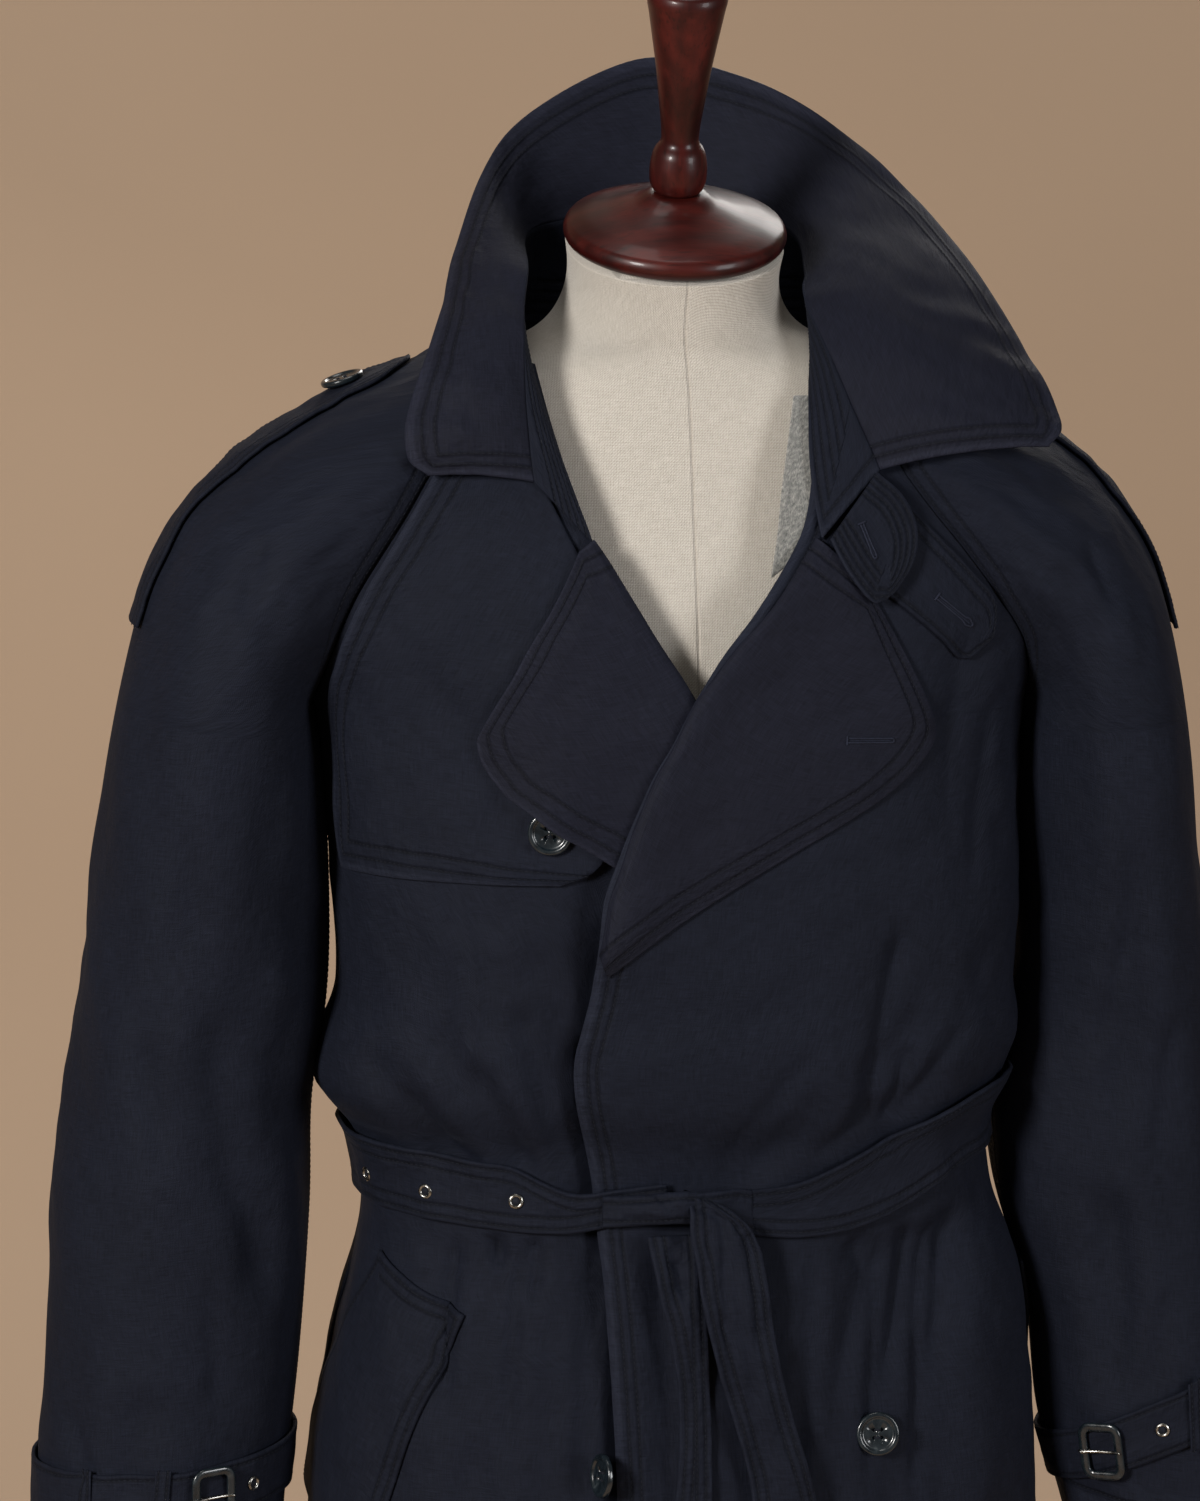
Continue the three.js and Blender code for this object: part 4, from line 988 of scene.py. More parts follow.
def front_patch(name, rows, names, level, thick, look, seams, size, bend=0.0, **facts):
    """A patch on a front between two edges of a table. A bend rounds its first side over a roll."""
    share = np.linspace(0, 1, size[0])[:, None]
    edge = read(rows, "share", share)
    across = np.linspace(0, 1, size[1])[None]
    x = mix(edge[names[0]], edge[names[2]], across)
    z = mix(edge[names[1]], edge[names[3]], across)
    wide = np.hypot(edge[names[0]] - edge[names[2]], edge[names[1]] - edge[names[3]])
    height = level(x, z, across + 0 * x) - bend * bell(across * wide, 2.2)
    outer, inner = on_front(x, z, height), on_front(x, z, height - thick)
    PATCHES[name] = cloth_piece(name, outer, inner, look, seams, "stitches_patches", **facts)


LAPEL_SIDES = ("rollX", "rollZ", "edgeX", "edgeZ")
TAB_SIDES = ("lowX", "lowZ", "highX", "highZ")
LAPEL_SEAMS = {"high": (7, 9, 2), "start": (7, 9, 2)}


def lapel_wave(x, z, across, seed):
    return 0.6 * ripple(x, z, seed, 60) * across * (1 - across) * 4


def left_lapel_level(x, z, across):
    rise = 3.4 * np.sin(math.pi * across)
    return level_left(x, z) + GAP + CLOTH + 0.6 + rise + lapel_wave(x, z, across, 5)


def right_lapel_level(x, z, across):
    under = np.maximum(0, x - read(EDGE_LEFT, "z", z)["x"])
    over_button = bell(np.hypot(x - CHEST_BUTTON[0], z - CHEST_BUTTON[1]), 22)
    return 6.8 - 0.2 * under + 8.2 * over_button + lapel_wave(x, z, across, 6)


front_patch("lapel_left", LAPEL_LEFT, LAPEL_SIDES, left_lapel_level, CLOTH, FACING, LAPEL_SEAMS,
            (90, 60), bend=2)
front_patch("lapel_right", LAPEL_RIGHT, LAPEL_SIDES, right_lapel_level, CLOTH, FACING, LAPEL_SEAMS,
            (80, 60), bend=2)

z = np.linspace(1262, 1490, 100)[:, None]
edge = read(STORM_FLAP, "z", z)
turn = mix(turn_of(edge["outerX"], z), turn_of(edge["innerX"], z), np.linspace(0, 1, 60)[None])
height = STORM_LEVEL + 0.4 * ripple(turn * PER_DEGREE, z, 12, 50) * ramp(z, 1262, 1290)
cloth_piece("storm_flap", on_trunk(turn, z, height), on_trunk(turn, z, height - CLOTH), NAVY,
            {"low": (8, 7.5, 2), "start": (8, 7.5, 2)}, "stitches_patches")

front_patch("chest_tab", CHEST_TAB, TAB_SIDES, lambda x, z, _: level_left(x, z) + GAP + BAND + 0.4,
            BAND, NAVY, {"low": (2.5, 6, 1), "high": (2.5, 6, 2), "end": (2.5, 6, 1)}, (40, 30))
front_patch("throat_tab", THROAT_TAB, TAB_SIDES, lambda x, z, _: level_left(x, z) + 2 * (GAP + BAND) + 4.2,
            BAND, NAVY, {"low": (2.5, 4, 4), "high": (2.5, 4, 4), "end": (2.5, 4, 2)}, (40, 34))
front_patch("neck_lining", NECK_LINING, TAB_SIDES, lambda x, *_: 0 * x - CLOTH - GAP - 0.2,
            CLOTH, WOOL, {}, (40, 20), slot="wool")


# ---- Collar
def collar_line(share, name):
    line = read(COLLAR, "share", share)
    return points_of(*(line[name + axis] for axis in "XYZ"))


def stand(share, up):
    """The standing part, from the foot to the turn."""
    return mix(collar_line(share, "foot"), collar_line(share, "turn"), up[..., None])


def leaf(share, out):
    """The turned part, from the turn to the edge, with its swell and waves."""
    line = read(COLLAR, "share", share)
    swell = 4 * line["swell"] * out * (1 - out)
    around = share * 620
    waves = 1.1 * ripple(around, out * 60, 41, 70) + 0.5 * ripple(around, out * 90, 43, 30)
    height = swell + ramp(out, 0.05, 0.6) * waves
    flat = mix(collar_line(share, "turn"), collar_line(share, "edge"), out[..., None])
    return flat + points_of(0, -0.8, 0.6) * height[..., None]


share = np.linspace(0, 1, 240)[:, None]
for name, surface, reach, look, seams in (
        ("collar_stand", stand, np.linspace(0, 0.995, 18), NAVY, {"low": (4, 6, 5), "end": (8, 6, 1)}),
        ("collar", leaf, np.linspace(0.004, 1, 52), FACING,
         {"high": (9.5, 7, 2), "start": (7, 6, 2), "end": (7, 6, 2)})):
    up = reach[None] + 0 * share
    places, normals = skin(lambda a, b: surface(b, a), up, share + 0 * up, 0.02, 0.004)
    cloth_piece(name, places, places + normals * CLOTH, look, seams, "stitches_collar")


# ---- Belt
def on_belt(across, turn, level):
    line = read(BELT, "turn", turn)
    return on_trunk(turn, line["z"] + (2 * across - 1) * line["half"], level, False)


turn = np.linspace(BELT["turn"][0], BELT["turn"][-1], 420)[:, None]
across = np.linspace(0, 1, 22)[None]
height = BELT_LEVEL + 0.5 * ripple(turn * PER_DEGREE, across * 40, 14, 40) * np.sin(math.pi * across)
cloth_piece("belt_band", on_belt(across, turn, height), on_belt(across, turn, height - BAND), NAVY,
            BELT_SEAMS, "stitches_belt", held="stretched", rests_on=("front_left", "back"))

# The two tails and the wrap between them, along their length: place, level and half width
OVER_TAIL = table("share x z out halfX halfZ", """
0 46 772 9 12 0
0.08 46 800 9 19 0
0.27 44 860 9 18 0
0.47 41 922 9.5 16.5 0
0.6 32 962 10.5 16.5 0
0.7 24 993 13 17.5 0
0.81 16.5 1027 17 18.5 0
0.89 11.5 1056 20 18 0
0.94 8 1073 20.5 16 -2
0.97 4 1083 19 12.5 -4
0.99 -1 1090 14 8 -3
1 -4 1091 8 6 -2
""")
UNDER_TAIL = table("share x z out halfX halfZ", """
0 -16 810 3.6 17 0
0.2 -13 860 3.6 13 0
0.45 -7 925 4.5 9 0
0.65 -6 976 5.5 8 0
0.8 -9 1014 8 9.5 0
0.88 -12 1036 10 12 0
1 -15 1066 11 15 0
""")
WRAP_OVER = table("share x z out halfX halfZ", """
0 -52 1080.5 5.6 0 8.5
0.2 -40 1081.5 8 0.5 8.5
0.45 -26 1083 11 1 9
0.65 -14 1084.5 14 2 10
0.85 -2 1083 13 2 10
1 28 1077.5 6.2 0 11
""")


def belt_strip(name, rows, seed, crush, lines, seams, held, pleat=0, crown=0):
    """A stretch of the belt along a table, crumpled, with creases along lines of x, z, width and depth."""
    share = np.linspace(0, 1, 150)[:, None]
    line = read(rows, "share", share)
    side = np.linspace(-1, 1, 30)[None]
    x, z = line["x"] + side * line["halfX"], line["z"] + side * line["halfZ"]
    height = line["out"] + crush * ripple(x * 1.2, z * 0.5, seed, 26) + pleat * bell(side - 0.3, 0.2)
    height = height + crown * (1 - side ** 2) * np.sin(math.pi * share)
    for x1, z1, x2, z2, wide, deep in lines:
        t = np.clip(((x - x1) * (x2 - x1) + (z - z1) * (z2 - z1)) / ((x2 - x1) ** 2 + (z2 - z1) ** 2), 0, 1)
        away = np.hypot(x - x1 - t * (x2 - x1), z - z1 - t * (z2 - z1))
        height = height - deep * bell(away, wide) * (1 - 0.6 * t)
    outer, inner = on_front(x, z, height, False), on_front(x, z, height - BAND, False)
    cloth_piece(name, outer, inner, NAVY, seams, "stitches_belt", held=held, rests_on=("front_left",))


TAIL_SEAMS = {"low": (3, 5, 2), "high": (3, 5, 2), "start": (3, 5, 2)}
belt_strip("belt_tail_front", OVER_TAIL, 15, 0.8,
           [(-8, 1089, 17, 1071, 2.6, 4), (9, 1072, 8, 1020, 2.4, 2.4), (8, 1020, 17, 960, 3, 1.6),
            (22, 1066, 28, 1010, 2.6, 1.8), (2, 1066, -2, 1035, 2, 1.2)],
           TAIL_SEAMS, "hung", 1.2)
belt_strip("belt_tail_back", UNDER_TAIL, 16, 1.5,
           [(-18, 1056, -6, 1020, 3, 2.2), (-16, 1040, -2, 1036, 2, 1.5), (-18, 1050, -6, 1048, 2, 1.5)],
           TAIL_SEAMS, "hung")
belt_strip("belt_knot", WRAP_OVER, 17, 0.5,
           [(-26, 1094, -14, 1078, 2, 1.6), (-20, 1092, -9, 1076, 1.8, 1.4), (-40, 1078, -14, 1079, 2, 1.4)],
           {"low": (3, 5, 1), "high": (3, 5, 1)}, "folded", crown=4.5)

# ---- Epaulettes, cuff straps and loops
STRAPS = {
    "left": {"rows": SLEEVE_LEFT, "row": lambda share: 1.15 + 0.55 * np.cos(math.pi * (share - 0.1)),
             "buckle": 0.72, "spin": 0.1, "eyelet": 0.555, "loops": (0.47, 0.36)},
    "right": {"rows": SLEEVE_RIGHT, "row": lambda share: 1.12 + 0 * share,
              "buckle": 0.61, "spin": 0.0, "eyelet": 0.73, "loops": (0.29, 0.49)},
}


def on_strap(made, across, share, level=0):
    return on_sleeve(made["rows"], made["row"](share) + (2 * across - 1) * STRAP_HALF, share, level)


for side, made in STRAPS.items():
    row = np.linspace(EPAULETTE["row"][0], EPAULETTE["row"][-1], 70)[:, None]
    share = (2 * np.linspace(0, 1, 24)[None] - 1) * read(EPAULETTE, "row", row)["half"]
    level = EPAULETTE_LEVEL + 0 * share
    outer, inner = (on_sleeve(made["rows"], row, share, level - thick) for thick in (0, BAND))
    cloth_piece("epaulette_" + side, outer, inner, NAVY, BELT_SEAMS, "stitches_sleeves",
                rests_on=("sleeve_" + side,))
    share = np.linspace(-0.998, 0.998, 180)[:, None]
    across = np.linspace(0, 1, 18)[None]
    level = STRAP_LEVEL + 0.4 * ripple(share * 220, across * 30, 19, 34) * np.sin(math.pi * across)
    outer, inner = (on_strap(made, across, share, level - thick) for thick in (0, BAND))
    cloth_piece("cuff_strap_" + side, outer, inner, NAVY, STRAP_SEAMS, "stitches_sleeves", held="stretched",
                rests_on=("sleeve_" + side,))
    for i, place in enumerate(made["loops"]):
        along = np.linspace(-0.1, 1.1, 24)[:, None]
        share = place + np.linspace(-0.015, 0.015, 8)[None]
        level = STRAP_LEVEL + 2.1 + 0 * along * share
        outer, inner = (on_strap(made, along, share, level - thick) for thick in (0, LOOP_THICK))
        cloth_piece("strap_loop_%s_%d" % (side, i + 1), outer, inner, NAVY,
                    {"low": (1.5, 2, 1), "high": (1.5, 2, 1)}, "stitches_sleeves", held=None)

# ---- Pocket welts
for side in ("left", "right"):
    share = np.linspace(0, 1, 34)[None]
    along = np.linspace(0, 1, 60)[:, None]
    line = read(WELT, "share", along)
    turn = mix(line["frontTurn"], line["backTurn"], share)
    turn = turn - WELT_LEFT_BACK if side == "left" else 180 - turn
    z = mix(line["frontZ"], line["backZ"], share)
    level = BAND + 0.3 + 0 * turn
    cloth_piece("welt_" + side, on_trunk(turn, z, level), on_trunk(turn, z, level - BAND), NAVY,
                {"low": (3, 6, 2), "start": (3, 6, 2), "high": (3, 6, 1)}, "stitches_fronts",
                rests_on=("front_" + side,))


# ---- Buttons, buckles and eyelets
def lathe(profile, segments):
    """Points and faces of a closed turned shape about Y, from radii and heights."""
    radii, heights = np.array(profile, float).T
    angle = np.arange(segments) * 2 * math.pi / segments
    radii, heights = radii[:, None], heights[:, None]
    points = points_of(radii * np.sin(angle), heights + 0 * angle, radii * np.cos(angle))
    index = np.arange(len(profile) * segments).reshape(-1, segments)
    return points.reshape(-1, 3), ring_faces(index, [i for i in (0, -1) if radii[i] > 0.01])


def rounded(profile, steps=5, size=0.5):
    """A profile with its corners rounded."""
    profile = np.array(profile, float)
    out = [profile[0]]
    for before, corner, after in zip(profile, profile[1:], profile[2:]):
        reach = min(size, np.linalg.norm(corner - before) / 2.2, np.linalg.norm(after - corner) / 2.2)
        start, end = corner + unit(before - corner) * reach, corner + unit(after - corner) * reach
        for t in np.linspace(0, 1, steps):
            out.append((1 - t) ** 2 * start + 2 * t * (1 - t) * corner + t * t * end)
    return np.array(out + [profile[-1]])


def tube(line, radius, sides=10):
    """Points and faces of a closed round bar along a line of points."""
    line = np.array(line, float)
    along = unit(np.gradient(line, axis=0))
    across = unit(np.cross(along, unit(np.array([0.31, 0.82, 0.48]))))
    other = np.cross(along, across)
    angle = (np.arange(sides) * 2 * math.pi / sides)[:, None]
    radius = np.broadcast_to(radius, len(line))[:, None, None]
    rings = line[:, None] + radius * (across[:, None] * np.cos(angle) + other[:, None] * np.sin(angle))
    return rings.reshape(-1, 3), ring_faces(np.arange(len(line) * sides).reshape(-1, sides))


def joined(*parts):
    points, faces, count = [], [], 0
    for part_points, part_faces in parts:
        points.append(part_points)
        faces += [[corner + count for corner in face] for face in part_faces]
        count += len(part_points)
    return np.concatenate(points), faces


def seat(surface, u, v, level, spin=0.0, turned=0.0):
    """Where a small piece stands on a surface of two numbers and a level: a place and three directions."""
    place, above = (surface(*(np.array([[float(at)]]) for at in (u, v, level + rise))).reshape(3)
                    for rise in (0, 1))
    c, s = math.cos(math.radians(turned)), math.sin(math.radians(turned))
    out = unit(above - place) @ np.array([[c, s, 0], [-s, c, 0], [0, 0, 1]])
    across = unit(np.cross((0, 0, 1), out))
    down = np.cross(across, out)
    c, s = math.cos(spin), math.sin(spin)
    return place, np.array([c * across - s * down, out, s * across + c * down])


def stood(shape, at):
    place, axes = at
    return shape[0] @ axes + place, shape[1]


def hard_piece(name, shape, look, slot, *nodes):
    piece = new_object(name, build_mesh(name, *shape), look)
    if nodes:
        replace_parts(piece, *nodes)
    return piece


def apply_modifiers(piece):
    """Keeps what the modifiers make of a piece as its mesh, under the same name."""
    graph = bpy.context.evaluated_depsgraph_get()
    mesh = bpy.data.meshes.new_from_object(piece.evaluated_get(graph))
    piece.modifiers.clear()
    old, piece.data = piece.data, mesh
    name = old.name
    bpy.data.meshes.remove(old)
    mesh.name = name
    mesh.shade_smooth()


def cut(piece, shape):
    """Takes a shape out of a piece."""
    cutter = add_object("cutter", build_mesh("cutter", *shape))
    modifier = piece.modifiers.new("cut", "BOOLEAN")
    modifier.object = cutter
    modifier.solver = "EXACT"
    apply_modifiers(piece)
    bpy.data.objects.remove(cutter)


BUTTON = rounded([(0, 0), (9.5, 0), (12, 1.2), (12, 3.2), (11.2, 4), (9.6, 4), (8.4, 2.8), (0, 2.4)], 6, 0.7)
HOLES = [(2.1, 2.1), (-2.1, 2.1), (-2.1, -2.1), (2.1, -2.1)]


def button(name, at):
    """A four-hole button with a rim, sewn on through its holes."""
    piece = hard_piece(name, stood(lathe(BUTTON, 72), at), HORN, "horn", name)
    points, faces = lathe([(0, -1), (0.95, -1), (0.95, 5), (0, 5)], 14)
    cut(piece, stood(joined(*((points + (x, 0, z), faces) for x, z in HOLES)), at))
    t = np.linspace(0, 1, 12)
    rise = 0.6 + 2.5 * np.sin(math.pi * t) ** 0.5
    threads = []
    for first, second in ((0, 1), (3, 2)):
        (x1, z1), (x2, z2) = HOLES[first], HOLES[second]
        for offset in (0.28, -0.28):
            threads.append(tube(points_of(mix(x1, x2, t), rise, mix(z1, z2, t) + offset), 0.3, 6))
    shank = tube(points_of(0, np.array([-1.6, -1.0, -0.3, 0.4]), 0), 1.5, 8)
    hard_piece(name + "_thread", stood(joined(*threads, shank), at), THREAD, "cloth")


def rounded_frame(wide, tall, bar, thick, corner, steps=14):
    """A rounded rectangular frame with a rounded bar, lying in X and Z, its back at Y 0."""
    w, h = wide / 2 - bar / 2, tall / 2 - bar / 2
    path, outward = [], []
    for i, (a, b) in enumerate(((1, 1), (-1, 1), (-1, -1), (1, -1))):
        x, z = a * (w - corner), b * (h - corner)
        for angle in np.linspace(i * math.pi / 2, (i + 1) * math.pi / 2, steps):
            path.append((x + corner * math.cos(angle), z + corner * math.sin(angle)))
            outward.append((math.cos(angle), math.sin(angle)))
    path, outward = np.array(path), np.array(outward)
    angle = np.arange(16) * 2 * math.pi / 16
    out = bar / 2 * signed_power(np.cos(angle), 0.75)
    up = thick / 2 + thick / 2 * signed_power(np.sin(angle), 0.75)
    x, z = (path[:, i:i + 1] + outward[:, i:i + 1] * out for i in (0, 1))
    points = points_of(x, up + 0 * x, z)
    index = np.arange(points[..., 0].size).reshape(len(path), -1)
    following, side = np.roll(index, -1, 0), np.roll(index, -1, 1)
    faces = np.stack([index, following, np.roll(following, -1, 1), side], -1).reshape(-1, 4).tolist()
    return points.reshape(-1, 3), faces


def buckle(name, at, wide, tall, bar, thick):
    """A buckle with a middle prong that rests on its far bar."""
    hard_piece(name, stood(rounded_frame(wide, tall, bar, thick, 5), at), HORN, "horn", name)
    reach = wide / 2 - bar / 2
    x = np.linspace(-1, 1, 26)
    height = thick + 0.2 - 1.9 * (1 - x ** 2) * (x < 0) - 1.9 * (1 - x ** 4) * (x >= 0)
    taper = np.interp(x, (-1, 0.8, 1), (1.1, 0.85, 0.5))
    prong = tube(points_of(x * (reach + 1.4), height + 0.5, 0 * x), taper, 10)
    angle = np.linspace(0, 2 * math.pi, 21)[:-1]
    ring = tube(points_of(-reach + (bar / 2 + 0.5) * np.cos(angle),
                          thick / 2 + (thick / 2 + 0.5) * np.sin(angle), 0), 0.8, 8)
    hard_piece(name + "_prong", stood(joined(prong, ring), at), NICKEL, "metal")


EYELET = rounded([(2.3, 0), (4.1, 0), (4.1, 0.6), (3.2, 1.25), (2.5, 0.9), (2.1, 0.2), (2.1, -0.6)], 5, 0.4)


def eyelet(name, at):
    """A riveted ring, its hole capped by a flat navy disc: the cloth's colour with painted shade for the
    hole's depth.
    """
    # Painted shade: a flat navy disc stands for the dark depth of the hole.
    dark = lathe([(0, 0.05), (2.4, 0.05), (2.4, 0.25), (0, 0.25)], 24)
    hard_piece(name, stood(lathe(EYELET, 40), at), NICKEL, "metal", name)
    hard_piece(name + "_hole_shade", stood(dark, at), THREAD, "cloth")


def on_piece(name, x, z):
    """The outer surface of a patch seen from the front: places in millimetres and the way out."""
    mesh = PATCHES[name].data
    tree = BVHTree.FromPolygons([v.co for v in mesh.vertices], [face.vertices for face in mesh.polygons])
    hits = [tree.ray_cast(Vector((a * MM, -0.4, b * MM)), Vector((0, 1, 0))) for a, b in zip(x, z)]
    return np.array([hit[0] for hit in hits]) / MM, np.array([hit[1] for hit in hits])


def buttonhole(name, patch, start, end, eye=0.0, wide=1.1):
    """A worked buttonhole: a whipped edge round a slot, with a bar at its start and an eye at its end."""
    start, end = np.array(start, float), np.array(end, float)
    length = np.linalg.norm(end - start)
    along = (end - start) / length
    across = np.array([-along[1], along[0]])
    t = np.linspace(0, 1, 90)
    angle = np.linspace(-math.pi / 2, math.pi / 2, 24)
    swell = wide + eye * bell(t * length - length + 2.4, 1.8)
    upper = [(a * length, b) for a, b in zip(t, swell)]
    tip = [(length + swell[-1] * math.cos(a), swell[-1] * math.sin(a)) for a in angle[::-1]]
    loop = np.array(upper + tip[1:-1] + [(a, -b) for a, b in upper[::-1]])
    parts = []
    bar = np.array([(-0.6, b) for b in np.linspace(-2.4, 2.4, 14)])
    slot = np.array([(a, 0) for a in np.linspace(0.5, length - 0.5, 40)])
    for line, radius, rise in ((loop, 0.55, 0.25), (bar, 0.6, 0.25), (slot, 0.35, -0.05)):
        flat = start + line[:, :1] * along + line[:, 1:] * across
        places, outward = on_piece(patch, *flat.T)
        whip = 1 + 0.22 * np.sin(np.arange(len(flat)) * 2.4)
        parts.append(tube(places + outward * rise, radius * whip, 8))
    hard_piece(name, joined(*parts), EYE_THREAD, "cloth")


buttonhole("buttonhole_lapel", "lapel_left", (77, 1337), (102, 1335.5))
buttonhole("buttonhole_chest_tab", "chest_tab", (129, 1410.5), (148, 1395), 0.9)
buttonhole("buttonhole_throat_tab", "throat_tab", (86, 1451), (92.5, 1434), 0.3, 0.8)


for side, made in STRAPS.items():
    shoulder = seat(lambda *at: on_sleeve(made["rows"], *at), 14.3, 0, EPAULETTE_LEVEL + 0.5)
    cuff, hole = (seat(lambda *at: on_strap(made, *at), 0.5, made[key], STRAP_LEVEL + raised, spin)
                  for key, raised, spin in (("buckle", GAP - 0.1, made["spin"]), ("eyelet", 0.05, 0.0)))
    button("button_shoulder_" + side, shoulder)
    buckle("cuff_buckle_" + side, cuff, **CUFF_BUCKLE)
    eyelet("strap_eyelet_" + side, hole)

for number, (turn, z) in enumerate([(163.6, 1089), (141.3, 1087), (119.8, 1085.4)]):
    eyelet("belt_eyelet_%d" % (number + 1), seat(on_trunk, turn, z, BELT_LEVEL + 0.05))

x, z, height = TAIL_END
buckle("belt_buckle", seat(on_front, x, z - GAP - BELT_BUCKLE["tall"] / 2, height - 2), **BELT_BUCKLE)

for name, (x, z), height, turned in (("button_chest", CHEST_BUTTON, STORM_LEVEL + GAP + 0.6, 0),
                                     ("button_skirt_left", (99, 952), GAP + 1.8, 0),
                                     ("button_skirt_right", (-54, 940), 6.6, -62)):
    button(name, seat(on_front, x, z, height, turned=turned))


# ---- Dress form
def shoulder_half(rows, z):
    """Half the width between the shoulders' top lines at a height."""
    fine = read(rows, "row", np.linspace(11, NECK, 400))
    return np.interp(z, fine["topZ"], np.abs(fine["topX"]))


def torso_sections():
    """Sections of the torso: height, half width to each side, half depth, middle and forward lean."""
    below, neck = ([(row[0], row[1], *row[1:]) for row in rows_of(rows)] for rows in (TORSO, TORSO_NECK))
    shoulders = []
    heights = (1468, 1488, 1502, 1514, 1525, 1534)
    for i, z in enumerate(heights):
        halves = (min(shoulder_half(rows, z + CLOTH + REST), 184 - 3 * i)
                  for rows in (SLEEVE_RIGHT, SLEEVE_LEFT))
        shoulders.append((z, *halves, mix(78, 56, i / (len(heights) - 1)), 0, 10, 0))
    sections = below + shoulders + neck
    columns = np.array(sections, float).T
    names = "z left right deep midX midY tilt".split()
    rows = dict(zip(names, columns), row=np.arange(len(sections), dtype=float))
    return read(rows, "row", np.linspace(0, len(sections) - 1, 190)[:, None])


def torso_points():
    size = torso_sections()
    angle = math.pi / 2 + np.linspace(-math.pi, math.pi, 161)[None, :-1]
    c, s = np.cos(angle), np.sin(angle)
    half = np.where(c > 0, size["right"], size["left"])
    x = half * signed_power(c, 0.92)
    y = -size["deep"] * signed_power(s, 0.92)
    tilt = np.radians(size["tilt"])
    return points_of(x + size["midX"], y * np.cos(tilt) + size["midY"], y * np.sin(tilt) + size["z"])


def relaxed(grid, weight, times):
    """A grid of points with its lines smoothed along their length, ends kept."""
    for _ in range(times):
        middle = (grid[:-2] + grid[2:]) / 2
        grid[1:-1] += weight[1:-1] * (middle - grid[1:-1])
    return grid


grid = torso_points()
grid = relaxed(grid, 0.5 * bell(grid[..., 2:] - SHOULDER_TOP, 45), 260)
index = np.arange(grid[..., 0].size).reshape(grid.shape[:2])
across, along = lengths(grid)
middle = across[:, across.shape[1] // 2, None]
mesh = build_mesh("form_torso", grid.reshape(-1, 3), ring_faces(index),
                  cloth=np.stack([across - middle, along, 0 * along], -1).reshape(-1, 3))
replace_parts(new_object("form_torso", mesh, LINEN), "form_torso")

NECK_LEAN = math.radians(110)
HEAD = (np.array([-1.5, -5.5, 1603]),
        np.array([[1, 0, 0], [0, math.cos(NECK_LEAN), math.sin(NECK_LEAN)],
                  [0, -math.sin(NECK_LEAN), math.cos(NECK_LEAN)]]))
FLOOR = (np.zeros(3), np.array([[1, 0, 0], [0, 0, 1], [0, -1, 0]]))
CAP = [(0, -7), (54, -7), (59.5, -5), (61.5, 0), (59.5, 5), (50, 9), (36, 13), (22, 18), (15, 23), (0, 23)]
HANDLE = [(0, 23.3), (13, 23.3), (15.5, 29), (15.8, 38), (14, 47), (10, 52), (10.5, 60), (15, 94),
          (20.5, 126), (22, 133), (20.5, 138), (0, 140)]
BASE = [(0, 0), (188, 0), (190, 4), (190, 12), (176, 18), (60, 22), (30, 24), (0, 24)]
POLE = [(0, 24.3), (16, 24.3), (16, 831.7), (0, 831.7)]
for name, profile, size, at, look in (
        ("neck_cap", CAP, 3, HEAD, CAP_WOOD), ("finial", HANDLE, 6, HEAD, HANDLE_WOOD),
        ("base", BASE, 3, FLOOR, CAP_WOOD), ("pole", POLE, 1, FLOOR, HANDLE_WOOD)):
    hard_piece(name, stood(lathe(rounded(profile, 7, size), 96), at), look, "wood", name)


# ---- Sewing
def stitch_tree():
    """Turns lines into rows of short stitches."""
    tree = bpy.data.node_groups.new("stitch_rows", "GeometryNodeTree")
    tree.interface.new_socket("Lines", in_out="INPUT", socket_type="NodeSocketGeometry")
    for name, value in (("Spacing", 3.1 * MM), ("Length", 2.3 * MM), ("Radius", 0.27 * MM)):
        tree.interface.new_socket(name, in_out="INPUT", socket_type="NodeSocketFloat").default_value = value
    tree.interface.new_socket("Thread", in_out="INPUT", socket_type="NodeSocketMaterial")
    tree.interface.new_socket("Stitches", in_out="OUTPUT", socket_type="NodeSocketGeometry")
    nodes = {name: tree.nodes.new(kind) for name, kind in (
        ("given", "NodeGroupInput"), ("made", "NodeGroupOutput"), ("curve", "GeometryNodeMeshToCurve"),
        ("spaced", "GeometryNodeResampleCurve"), ("tangent", "GeometryNodeInputTangent"),
        ("turned", "FunctionNodeAlignRotationToVector"), ("ball", "GeometryNodeMeshUVSphere"),
        ("size", "ShaderNodeCombineXYZ"), ("half", "ShaderNodeMath"),
        ("placed", "GeometryNodeInstanceOnPoints"), ("real", "GeometryNodeRealizeInstances"),
        ("dyed", "GeometryNodeSetMaterial"))}
    nodes["spaced"].mode = "LENGTH"
    nodes["turned"].axis = "Z"
    nodes["half"].operation = "MULTIPLY"
    nodes["half"].inputs[1].default_value = 0.5
    nodes["ball"].inputs["Segments"].default_value = 4
    nodes["ball"].inputs["Rings"].default_value = 3
    nodes["ball"].inputs["Radius"].default_value = 1
    for start, out, end, into in (
            ("given", "Lines", "curve", "Mesh"), ("curve", "Curve", "spaced", "Curve"),
            ("given", "Spacing", "spaced", "Length"), ("tangent", "Tangent", "turned", "Vector"),
            ("spaced", "Curve", "placed", "Points"), ("ball", "Mesh", "placed", "Instance"),
            ("turned", "Rotation", "placed", "Rotation"), ("given", "Length", "half", 0),
            ("given", "Radius", "size", "X"), ("given", "Radius", "size", "Y"),
            ("half", "Value", "size", "Z"), ("size", "Vector", "placed", "Scale"),
            ("placed", "Instances", "real", "Geometry"),
            ("real", "Geometry", "dyed", "Geometry"), ("given", "Thread", "dyed", "Material"),
            ("dyed", "Geometry", "made", "Stitches")):
        tree.links.new(nodes[start].outputs[out], nodes[end].inputs[into])
    return tree


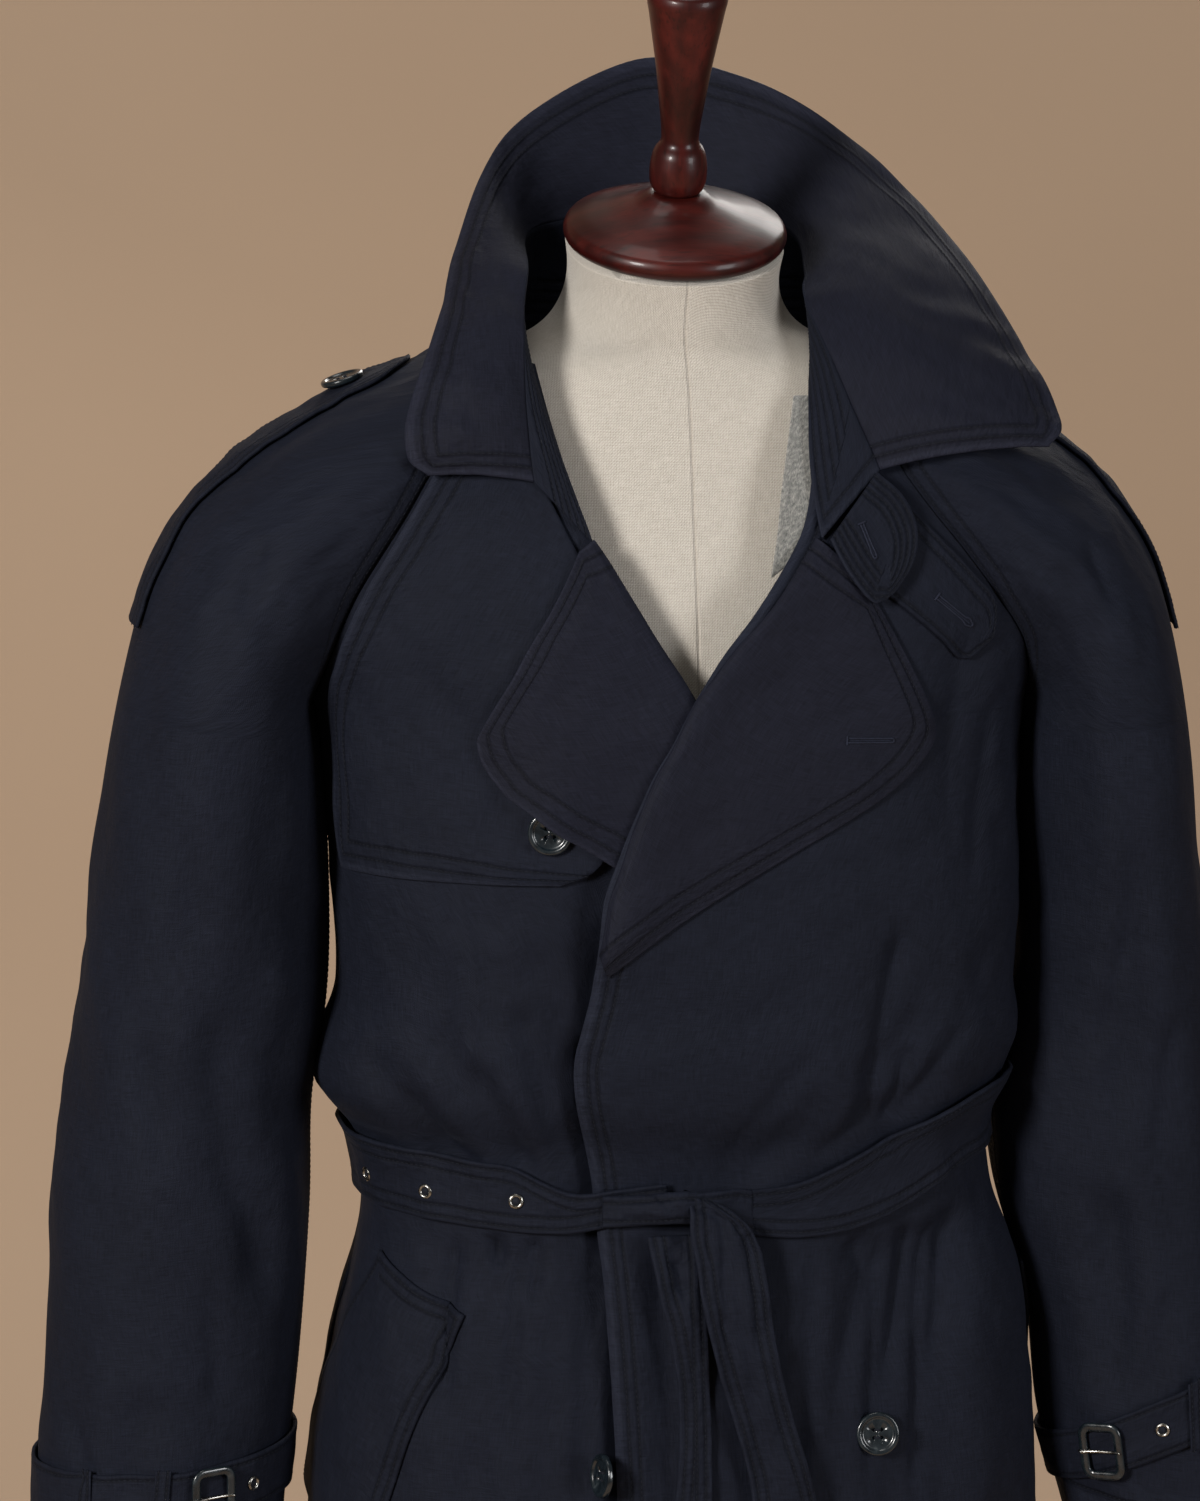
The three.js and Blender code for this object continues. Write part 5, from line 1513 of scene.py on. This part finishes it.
def sew(name, lines, tree, look):
    """One piece of stitches along lines of points in millimetres."""
    points = np.concatenate(lines)
    ends = np.cumsum([len(line) for line in lines])
    edges = [(i, i + 1) for i in range(len(points) - 1) if i + 1 not in ends]
    mesh = bpy.data.meshes.new(name)
    mesh.from_pydata((points * MM).tolist(), edges, [])
    piece = add_object(name, mesh)
    modifier = piece.modifiers.new("stitches", "NODES")
    modifier.node_group = tree
    thread = next(item for item in tree.interface.items_tree if item.name == "Thread")
    modifier[thread.identifier] = look
    apply_modifiers(piece)
    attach(piece, "root")


STITCHES = stitch_tree()
for group, lines in THREADS.items():
    sew(group, lines, STITCHES, THREAD)


# ---- Light and floor
def soft_light(name, place, target, size, power, colour):
    data = bpy.data.lights.new(name, "AREA")
    data.shape = "RECTANGLE"
    data.size, data.size_y = size
    data.energy = power
    data.color = colour
    light = add_object(name, data)
    light.location = place
    light.rotation_euler = (Vector(target) - Vector(place)).to_track_quat("-Z", "Y").to_euler()


MIDDLE = (0, 0, 1.25)
soft_light("key", (-1.95, -2.15, 2.15), MIDDLE, (0.6, 0.7), 106, (1.0, 0.975, 0.94))
soft_light("fill", (1.9, -2.0, 1.6), MIDDLE, (0.9, 1.2), 40, (0.97, 0.98, 1.0))
soft_light("top", (-0.2, -0.2, 3.3), MIDDLE, (1.0, 0.8), 9, (1.0, 0.98, 0.95))
soft_light("back", (0.5, 1.25, 2.3), MIDDLE, (0.9, 0.9), 16, (1.0, 0.98, 0.95))

world = bpy.data.worlds.new("studio")
world.use_nodes = True
background = world.node_tree.nodes["Background"].inputs
background["Color"].default_value = (0.62, 0.56, 0.49, 1)
background["Strength"].default_value = 0.17
bpy.context.scene.world = world
bpy.context.scene.view_settings.view_transform = "Standard"

# The floor sweeps up behind into the backdrop
FLOOR_END, BEND = 1.3, 0.9
sweep = [(-3.5, 0), (FLOOR_END, 0)]
sweep += [(FLOOR_END + BEND * math.sin(a), BEND - BEND * math.cos(a))
          for a in np.linspace(0.1, math.pi / 2, 16)]
sweep.append((FLOOR_END + BEND, 4.5))
floor_mesh = bpy.data.meshes.new("floor")
floor_mesh.from_pydata([(x, y, z) for y, z in sweep for x in (-4, 4)], [],
                       [(2 * i, 2 * i + 1, 2 * i + 3, 2 * i + 2) for i in range(len(sweep) - 1)])
floor_mesh.shade_smooth()
floor = add_object("floor", floor_mesh)
plain = Look("plain_floor")
colour = plain.colours(plain.noise(plain.object_place(), 1.2), (0.3, (0.44, 0.318, 0.222)),
                       (0.7, (0.475, 0.347, 0.244)))
floor_mesh.materials.append(plain.done({"Base Color": colour, "Roughness": 0.9}))
# From behind the backdrop is clear, so the back of the coat shows
clear = plain.add("ShaderNodeMixShader", {0: plain.add("ShaderNodeNewGeometry").outputs["Backfacing"],
                                          1: plain.shader.outputs[0],
                                          2: plain.add("ShaderNodeBsdfTransparent").outputs[0]})
plain.feed(plain.output.inputs["Surface"], clear.outputs[0])
